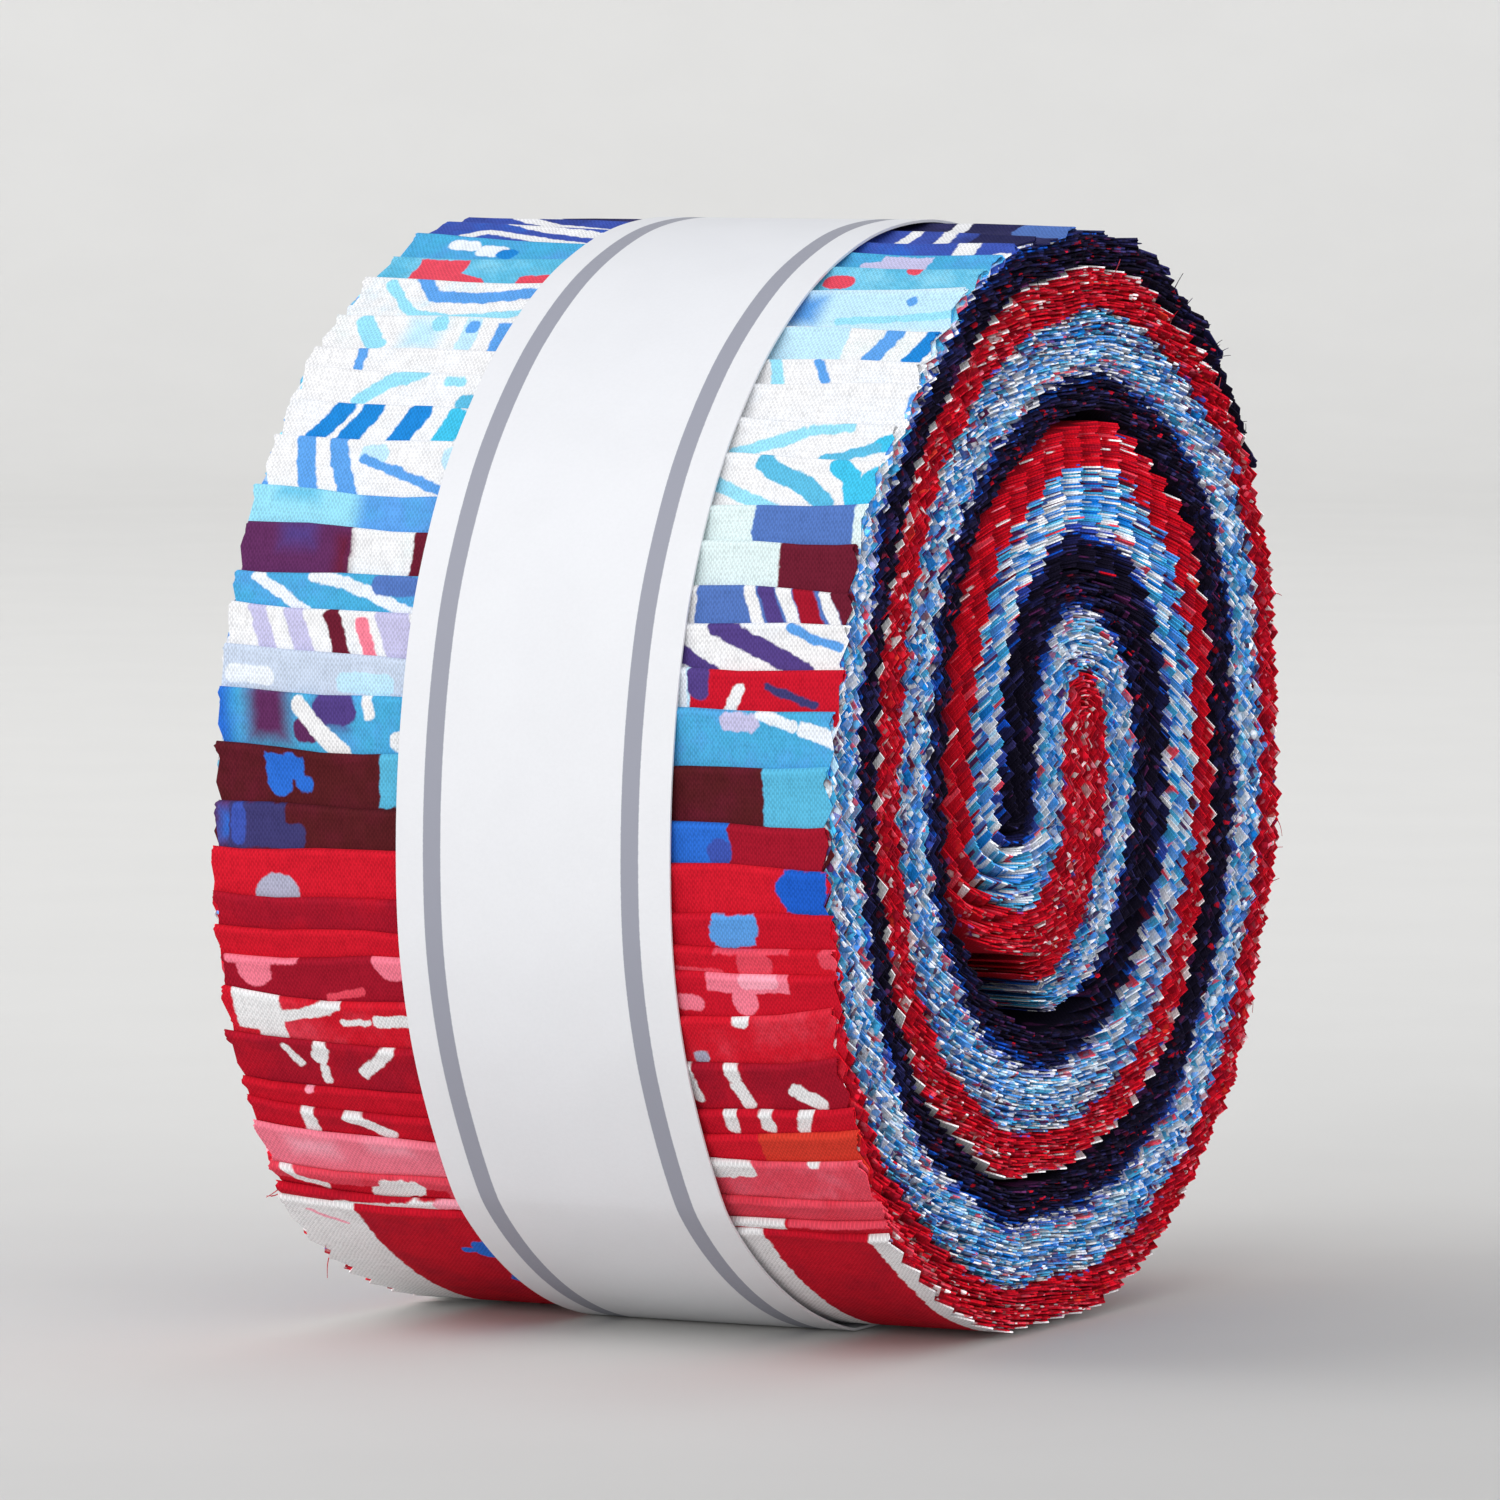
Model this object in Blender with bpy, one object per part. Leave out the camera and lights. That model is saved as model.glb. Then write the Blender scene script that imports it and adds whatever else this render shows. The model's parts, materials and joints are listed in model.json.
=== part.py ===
"""Fabric strip roll: forty cotton strips, folded in half and rolled up together, in a paper band.

The roll lies on its side. Its axis runs along X and its coiled end faces +X. The folded ends of the
strips overlap like tiles up the -Y side and over the top, and the free ends are in the core. It rests
on Z = 0, with the origin under its middle.

The strips are stacked, and the stack is wound as half turns about two centres, one above the other.
A place in the winding is given by its station along the stack and its depth, which is the distance
from the stack's outer face. A strip is the space between two depths, so its neighbours fit against it.
"""
import math

import bpy
from mathutils import Vector

# Strips
STRIP_COUNT = 40
STRIP_WIDTH = 0.0635  # along the roll's axis
STRIP_LENGTH = 1.10  # laid flat, before it is folded in half
PLY_THICKNESS = 0.000179  # one layer of cotton, pressed
STRIP_GAP = 0.00003  # between one strip and the next

# Winding
TURN_GAP = 0.0003  # between one turn of the stack and the next
SIDE_GAP = 0.0015  # the looser gap inside the last turn, on the +Y side
PRESS = 0.955  # height of a half turn as a share of its radius, because cloth sags
FREE_END_DEPTH = 0.010  # how far the highest free end hangs below the core's lower centre
CORE_HEIGHT_MIN = 0.001  # least distance between the two centres
FOOT_HALF_ANGLE = 10.5  # degrees of the underside that are flat, each way from straight down

# Folded ends, as distances up the -Y side from the level of the lower centre
FIRST_FOLD = -0.0422
FOLD_STEPS_MM = (
    1.6, 2.9, 5.1, 3.1, 2.6, 5.2, 4.8, 4.3, 2.6, 3.2, 4.3, 3.8, 5.0,
    5.0, 3.8, 4.2, 3.3, 4.3, 3.4, 5.4, 4.0, 4.0, 2.9, 4.8, 5.6, 4.6,
    3.9, 4.1, 4.9, 6.5, 5.9, 5.6, 5.3, 5.0, 4.7, 4.4, 3.9, 3.2, 2.6,
)

# Paper band
BAND_WIDTH = 0.0281
BAND_OFFSET = 0.0016  # its middle, towards the coiled end
BAND_THICKNESS = 0.00025
BAND_GAP = 0.0003  # between the paper and the cloth
GLUE_THICKNESS = 0.00015
GLUE_GAP = 0.00002  # between the glue and each layer of paper
GLUE_MARGIN = 0.0015  # from the glue to the paper's edges

# How finely the winding is drawn
TOP_STEPS = 12  # in a half turn over the top, and half as many near the core
SIDE_STEPS = 6  # from a side to the flat underside, and half as many near the core
SMALL_RADIUS = 0.005  # below this a half turn takes half as many steps again

STRIP_COLORS = (
    "E4D9DC", "D9B6BC", "C8354A", "D6546B", "C22A35", "BE2230", "A82430", "C93442",
    "A81E30", "C42A32", "A41C2C", "C8202E", "6B2326", "5E2526", "5B5FA8", "CFC3D2",
    "D9D3E2", "4A5BA0", "8C3A50", "8FC4DA", "CFE6EE", "D9EEF3", "E4F0F4", "E8F1F4",
    "BFE6EE", "DDF0F5", "9CCBE8", "7FA8E0", "3F6FC0", "24408C", "1E3A86", "2A4FA6",
    "1B2F70", "232A5E", "1A1F4C", "2B2352", "16183C", "1C1A38", "12122A", "0F0F22",
)

STRIP_THICKNESS = 2 * PLY_THICKNESS
STACK_THICKNESS = STRIP_COUNT * STRIP_THICKNESS
PITCH = STACK_THICKNESS + TURN_GAP
HALF_GAP = TURN_GAP / 2


def top_angles(step=1):
    """Angles of the stations of a half turn over the top, from one side to the other."""
    return [180 * i / TOP_STEPS for i in range(0, TOP_STEPS + 1, step)]


def bottom_angles(step=1):
    """Angles of the stations of a half turn under the bottom, with one flat step at the foot."""
    side = [(90 - FOOT_HALF_ANGLE) * i / SIDE_STEPS for i in range(0, SIDE_STEPS + 1, step)]
    return side + [180 - a for a in reversed(side)]


def half_turn(centre, level, radius, angles):
    """Points about a centre at each angle, measured from +Y and upwards, pressed flatter."""
    points = []
    for angle in angles:
        a = math.radians(angle)
        points.append(Vector((centre + radius * math.cos(a), level + PRESS * radius * math.sin(a))))
    return points


def lane(depth, core_height, size_depth=None):
    """The whole winding at one depth, from the free ends in the core to the last folded end.

    Near the core a half turn keeps fewer stations, by its radius at size_depth. Returns the points,
    and the station at which the stack starts up the -Y side.
    """
    inset = HALF_GAP + depth
    size = inset if size_depth is None else HALF_GAP + size_depth
    top = core_height
    side = SIDE_GAP / 2
    under = bottom_angles(2)

    # The free ends curl from the core's lower level round the turn below them.
    radius = PITCH + inset / 2
    points = half_turn(inset - radius, 0, radius, [-a for a in reversed(under) if a < 90])

    # Over and down inside the first bend, then back up round the second.
    over = top_angles(4 if size < SMALL_RADIUS else 2)
    points += half_turn(0, top, inset, over)
    if PITCH - size < SMALL_RADIUS:
        under = [under[0], under[2], under[-3], under[-1]]
    points += half_turn(-PITCH, 0, PITCH - inset, [-a for a in under])

    # Two and a half turns round both of them.
    over, under = top_angles(2), bottom_angles(2)
    points += half_turn(0, top, 2 * PITCH - inset, reversed(over))
    points += half_turn(-PITCH / 2, 0, 2.5 * PITCH - inset, [-a for a in under])
    over, under = top_angles(), bottom_angles()
    points += half_turn(side, top, 3 * PITCH + side - inset, reversed(over))
    points += half_turn(side - PITCH / 2, 0, 3.5 * PITCH + side - inset, [-a for a in under])
    start = len(points) - 1
    points += half_turn(side, top, 4 * PITCH + side - inset, reversed(over))
    return points, start


def distances(points):
    """The distance along a line of points at each of them."""
    result = [0.0]
    for a, b in zip(points, points[1:]):
        result.append(result[-1] + (b - a).length)
    return result


def fold_distance(index):
    """How far up the -Y side a strip's folded end lies, along the surface."""
    return FIRST_FOLD + sum(FOLD_STEPS_MM[:index]) / 1000


def middle_depth(index):
    return (index + 0.5) * STRIP_THICKNESS


def core_height():
    """The distance between the two centres that the strips' length leaves."""
    longest = 0.0
    for index in range(STRIP_COUNT):
        points, start = lane(middle_depth(index), 0.0)
        along = distances(points)
        core = len([a for a in bottom_angles(2) if a < 90]) - 1
        longest = max(longest, along[start] - along[core] + fold_distance(index))
    spare = STRIP_LENGTH / 2 - FREE_END_DEPTH - longest
    return max(CORE_HEIGHT_MIN, spare / 6)


def point_at(points, station):
    """The point of a line at a station, which may lie between two of its points."""
    i = min(int(station), len(points) - 2)
    return points[i].lerp(points[i + 1], station - i)


def cut_line(points, first, last):
    """The part of a line between two stations."""
    inside = [points[i] for i in range(int(first) + 1, math.ceil(last))]
    return [point_at(points, first)] + inside + [point_at(points, last)]


def station_at(along, distance):
    """The station at a distance along a line."""
    distance = min(max(distance, 0.0), along[-1])
    i = 0
    while i < len(along) - 2 and along[i + 1] < distance:
        i += 1
    return i + (distance - along[i]) / (along[i + 1] - along[i])


def fold_nose(outer, inner):
    """Points on the half circle that joins a strip's two sides at its fold."""
    centre = (outer + inner) / 2
    out = outer - centre
    ahead = Vector((out.y, -out.x))
    angles = [math.radians(a) for a in (45, 90, 135)]
    return [centre + out * math.cos(a) + ahead * math.sin(a) for a in angles]


def strip_outline(index, height):
    """The cross-section of a folded strip: its outer side, its rounded fold and its inner side."""
    middle = middle_depth(index)
    points, start = lane(middle, height)
    along = distances(points)
    fold = along[start] + fold_distance(index)
    first = station_at(along, fold - STRIP_LENGTH / 2)
    last = station_at(along, fold - STRIP_THICKNESS / 2)
    half = (STRIP_THICKNESS - STRIP_GAP) / 2
    outer = cut_line(lane(middle - half, height, middle)[0], first, last)
    inner = cut_line(lane(middle + half, height, middle)[0], first, last)
    return outer + fold_nose(outer[-1], inner[-1]) + inner[::-1]


def convex_hull(points):
    """The corners of the tightest convex outline round some points, anticlockwise."""
    ordered = sorted({(p.x, p.y) for p in points})

    def chain(sequence):
        kept = []
        for p in sequence:
            while len(kept) > 1:
                (ax, ay), (bx, by) = kept[-2], kept[-1]
                if (bx - ax) * (p[1] - ay) - (by - ay) * (p[0] - ax) > 1e-10:
                    break
                kept.pop()
            kept.append(p)
        return kept[:-1]

    return [Vector(p) for p in chain(ordered) + chain(ordered[::-1])]


def corner_offsets(corners):
    """For each corner, the move that shifts both of its sides outwards by one metre."""
    moves = []
    for i, corner in enumerate(corners):
        before = (corner - corners[i - 1]).normalized()
        after = (corners[(i + 1) % len(corners)] - corner).normalized()
        n1 = Vector((before.y, -before.x))
        n2 = Vector((after.y, -after.x))
        moves.append((n1 + n2) / (1 + n1.dot(n2)))
    return moves


def band_corners(outlines):
    """The cloth's convex outline, starting at the paper's seam on the lower +Y side."""
    corners = convex_hull([p for outline in outlines for p in outline])
    centre = sum(corners, Vector((0, 0))) / len(corners)
    aim = math.radians(-40)

    def turn(i):
        p = corners[i] - centre
        return abs(math.remainder(math.atan2(p.y, p.x) - aim, math.tau))

    seam = min(range(len(corners)), key=turn)
    corners = corners[seam:] + corners[:seam]
    return corners, corner_offsets(corners)


def band_outline(corners, moves):
    """The paper's cross-section: once round the cloth and over its own start."""
    lap = BAND_THICKNESS + GLUE_THICKNESS
    rises = [0.0] * len(corners) + [lap, lap]
    near = []
    far = []
    for i, rise in enumerate(rises):
        corner = corners[i % len(corners)]
        move = moves[i % len(corners)]
        near.append(corner + move * (BAND_GAP + rise))
        far.append(corner + move * (BAND_GAP + rise + BAND_THICKNESS))
    return near + far[::-1]


def glue_outline(corners, moves):
    """The glue between the paper's two ends, along one straight side of the outline."""
    low = BAND_GAP + BAND_THICKNESS + GLUE_GAP
    high = BAND_GAP + BAND_THICKNESS + GLUE_THICKNESS - GLUE_GAP
    along = (corners[1] - corners[0]).normalized() * GLUE_MARGIN
    return [
        corners[0] + moves[0] * low + along,
        corners[1] + moves[1] * low - along,
        corners[1] + moves[1] * high - along,
        corners[0] + moves[0] * high + along,
    ]


def srgb_color(text):
    """A linear colour from six hexadecimal digits of sRGB."""
    values = [int(text[i:i + 2], 16) / 255 for i in (0, 2, 4)]
    return [v / 12.92 if v <= 0.04045 else ((v + 0.055) / 1.055) ** 2.4 for v in values]


def make_material(name, color, roughness):
    material = bpy.data.materials.new(name)
    material.use_nodes = True
    shader = material.node_tree.nodes["Principled BSDF"]
    shader.inputs["Base Color"].default_value = (*srgb_color(color), 1)
    shader.inputs["Roughness"].default_value = roughness
    shader.inputs["Metallic"].default_value = 0.0
    return material


def add_section(name, outline, width, material, parent, collection, x=0.0):
    """A solid with a closed outline in Y and Z, extruded to both sides along X."""
    curve = bpy.data.curves.new(name, "CURVE")
    curve.dimensions = "2D"
    curve.fill_mode = "BOTH"
    curve.extrude = width / 2
    spline = curve.splines.new("POLY")
    spline.points.add(len(outline) - 1)
    for point, (y, z) in zip(spline.points, outline):
        point.co = (y, z, 0, 1)
    spline.use_cyclic_u = True
    curve.materials.append(material)
    obj = bpy.data.objects.new(name, curve)
    obj.rotation_euler = (math.pi / 2, 0, math.pi / 2)
    obj.location.x = x
    obj.parent = parent
    collection.objects.link(obj)
    return obj


def clear_scene():
    for obj in list(bpy.data.objects):
        bpy.data.objects.remove(obj, do_unlink=True)


def main():
    clear_scene()
    collection = bpy.data.collections.new("fabric_strip_roll")
    bpy.context.scene.collection.children.link(collection)

    height = core_height()
    outlines = [strip_outline(i, height) for i in range(STRIP_COUNT)]
    corners, moves = band_corners(outlines)
    band = band_outline(corners, moves)
    every = [p for outline in outlines + [band] for p in outline]
    middle = (min(p.x for p in every) + max(p.x for p in every)) / 2
    floor = min(p.y for p in every)

    roll = bpy.data.objects.new("roll", None)
    roll.location = (0, -middle, -floor)
    collection.objects.link(roll)
    for i, outline in enumerate(outlines):
        name = f"strip_{i + 1:02d}"
        material = make_material(name, STRIP_COLORS[i % len(STRIP_COLORS)], 0.85)
        add_section(name, outline, STRIP_WIDTH, material, roll, collection)

    paper = bpy.data.objects.new("band", None)
    paper.location = (BAND_OFFSET, -middle, -floor)
    collection.objects.link(paper)
    white = make_material("belly_band", "F1F1F2", 0.55)
    add_section("belly_band", band, BAND_WIDTH, white, paper, collection)
    glue = make_material("band_glue", "E8E2CF", 0.4)
    glue_width = BAND_WIDTH - 2 * GLUE_MARGIN
    add_section("band_glue", glue_outline(corners, moves), glue_width, glue, paper, collection)


main()
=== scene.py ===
"""Looks for the fabric strip roll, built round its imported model.

Forty batik cotton strips with pinked edges are folded in half, stacked and wound as half turns about
two centres, one above the other. Their folded ends overlap like tiles up the -Y side and over the top.
A paper band with two printed lines holds the roll. Everything is in metres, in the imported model's frame.
"""

import json
import math

import bpy
import numpy as np
from bpy.props import FloatProperty, FloatVectorProperty, IntProperty, PointerProperty
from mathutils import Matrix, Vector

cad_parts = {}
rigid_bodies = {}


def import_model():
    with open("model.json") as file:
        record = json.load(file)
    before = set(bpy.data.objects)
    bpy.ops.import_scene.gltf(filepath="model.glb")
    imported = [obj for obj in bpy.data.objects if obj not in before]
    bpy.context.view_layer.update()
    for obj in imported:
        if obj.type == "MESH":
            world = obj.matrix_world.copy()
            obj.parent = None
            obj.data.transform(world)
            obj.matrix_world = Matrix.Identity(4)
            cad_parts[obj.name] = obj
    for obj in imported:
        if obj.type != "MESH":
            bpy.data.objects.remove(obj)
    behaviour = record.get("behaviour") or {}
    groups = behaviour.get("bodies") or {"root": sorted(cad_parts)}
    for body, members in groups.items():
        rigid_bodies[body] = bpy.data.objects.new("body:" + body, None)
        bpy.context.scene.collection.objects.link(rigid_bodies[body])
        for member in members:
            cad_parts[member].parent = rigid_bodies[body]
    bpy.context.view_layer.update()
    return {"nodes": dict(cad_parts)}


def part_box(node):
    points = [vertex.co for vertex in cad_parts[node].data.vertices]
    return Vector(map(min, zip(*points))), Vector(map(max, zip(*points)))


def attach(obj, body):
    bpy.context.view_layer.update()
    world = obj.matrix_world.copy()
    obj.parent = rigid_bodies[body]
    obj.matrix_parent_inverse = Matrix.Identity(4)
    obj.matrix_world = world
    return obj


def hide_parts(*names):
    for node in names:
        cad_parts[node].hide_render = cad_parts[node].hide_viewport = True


bl_info = {
    "name": "Fabric strip roll",
    "version": (1, 0, 0),
    "blender": (4, 5, 0),
    "location": "View3D > Sidebar > Strip Roll",
    "description": "Builds the pinked batik strips, the paper band and the stage of a fabric strip roll",
    "category": "Add Mesh",
}

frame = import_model()

# Winding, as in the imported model
STRIP_COUNT = 40
STRIP_WIDTH = 0.0635
STRIP_LENGTH = 1.10
STRIP_THICKNESS = 0.000358  # two layers of cotton
TURN_GAP = 0.0003
SIDE_GAP = 0.0015
PITCH = STRIP_COUNT * STRIP_THICKNESS + TURN_GAP
PRESS = 0.955  # height of a half turn as a share of its radius
FOOT = math.sin(math.radians(79.5))  # where a lower half turn becomes flat
OUTER_CLEARANCE = 0.000015  # between the outermost strip and the edge of its gap
FIRST_FOLD = -0.0422  # where the lowest fold lies, along the stack
FREE_END_EXTRA = (0.007, 0.012)  # how much further the free ends run into the core
FOLD_STEPS_MM = (
    1.6, 2.9, 5.1, 3.1, 2.6, 5.2, 4.8, 4.3, 2.6, 3.2, 4.3, 3.8, 5.0,
    5.0, 3.8, 4.2, 3.3, 4.3, 3.4, 5.4, 4.0, 4.0, 2.9, 4.8, 5.6, 4.6,
    3.9, 4.1, 4.9, 6.5, 5.9, 5.6, 5.3, 5.0, 4.7, 4.4, 3.9, 3.2, 2.6,
)
# How far a fold leans along the roll's axis, as a slope, for the strips that lie over the top
FOLD_LEAN = {
    20: -0.016, 21: -0.014, 22: -0.011, 23: -0.013, 24: -0.021, 25: -0.021, 26: -0.035,
    27: -0.05, 28: -0.10, 29: -0.09, 30: -0.06, 31: -0.04, 32: -0.03,
}

# How far round the stack is from the core, either way, before it starts to loosen, and over what length
LOOSE_START, LOOSE_RANGE = 0.045, 0.04
# Points of the rounded fold, by their distance from its tip, and the room that they take up
NOSE = np.array([1.4, 1.05, 0.75, 0.5, 0.32, 0.18, 0.08, 0.02]) / 1000
NOSE_ROOM = 0.0016
NOSE_DEPTH = 0.0005  # how far from its tip a fold is rounded
RISE_REACH = 0.0013  # how far from its tip a fold stands proud
PRESSED_REACH = 0.007  # how far from a fold the teeth are pressed flatter
LEAN_REACH = 0.016  # how far from a fold its lean and its waves are felt
SLIP = 0.00025  # how far a strip may lie to one side
DRIFT = 0.0002  # how far its edge wanders about that
RAGGED, RAGGED_LOOSE = 0.00009, 0.00030  # how rough a pinked edge is, and how much more where it is loose
FRAY = 0.00025  # how much further out a loose edge reaches

# Columns of points across a strip, between its two pinked edges
COLUMNS = np.array([-29.2, -25.5, -21.0, -16.5, -13.6, -11.5, 1.5, 14.8, 16.9, 21.0, 25.5, 29.2]) / 1000

BAND_MIDDLE = 0.0016  # where the middle of the paper band lies along the roll
BAND_DIRECTIONS = 1440  # at which the course of the paper band is worked out
BAND_RISE = 0.00042  # from the cloth's reach to the paper's inner face
GLUE_THICKNESS = 0.00012
BAND_SEAM, BAND_OVERLAP, LAP_RAMP = -47, 17, 9  # degrees round the roll
GLUE_START, GLUE_END = -44, -33
ROLL_MIDDLE = 0.05  # height of the roll's middle
THREAD_RINGS = 7  # along each loose thread
# The strips that loose threads come out of, from 0 at the lowest fold, with each one's share of them
THREAD_SHARES = {39: 0.12, 38: 0.08, 37: 0.08, 36: 0.06, 35: 0.06, 34: 0.04, 0: 0.30, 1: 0.1, 2: 0.06,
                 20: 0.05, 26: 0.05}

# Name, place, the point that it is aimed at, size, power and colour
LAMPS = (
    ("key_window", (-1.98, -1.30, 1.75), (0, 0, 0.05), 2.0, 29.0, (1.0, 0.985, 0.97)),
    ("front_board", (0.0, -2.0, 0.14), (0, 0, 0.05), 1.4, 25.0, (1.0, 0.99, 0.98)),
    ("side_board", (1.9, -0.7, 0.6), (0, 0, 0.05), 1.2, 9.0, (0.98, 0.99, 1.0)),
    ("backdrop_wash", (-0.27, 0.54, 1.5), (-1.0, 2.0, 0.3), 1.5, 8.0, (1.0, 1.0, 1.0)),
)
CAMERA_ORBIT = (math.radians(26.638), math.radians(4.174), 1.00253)  # azimuth, elevation and distance

DYES = {
    "white": "E0E0E1", "snow": "DDE3EA", "mint": "D0E0E0", "pale": "B4D8EA", "ice": "8ED0E6",
    "cyan": "3CB4D8", "aqua": "56AED0", "turquoise": "45A2CC", "sky": "5796D8", "blue": "2A68C8",
    "azure": "1C7CC6", "cobalt": "1C58BE", "royal": "3A4FA4", "navy": "24244C", "ink": "1A1627",
    "mist": "BCC8DA", "lilac": "B9B6D6", "grey": "A5A5BA", "slate": "4F6FB0", "dusk": "3A3768",
    "purple": "4E3C7C", "plum": "5A2A56", "maroon": "641A2C", "brown": "501A1E", "dark_red": "981428",
    "red": "BC1428", "scarlet": "C6182A", "orange": "CC3A2C", "coral": "D8485A", "pink": "E8788C", "rose": "F0A0B2",
}

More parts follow.
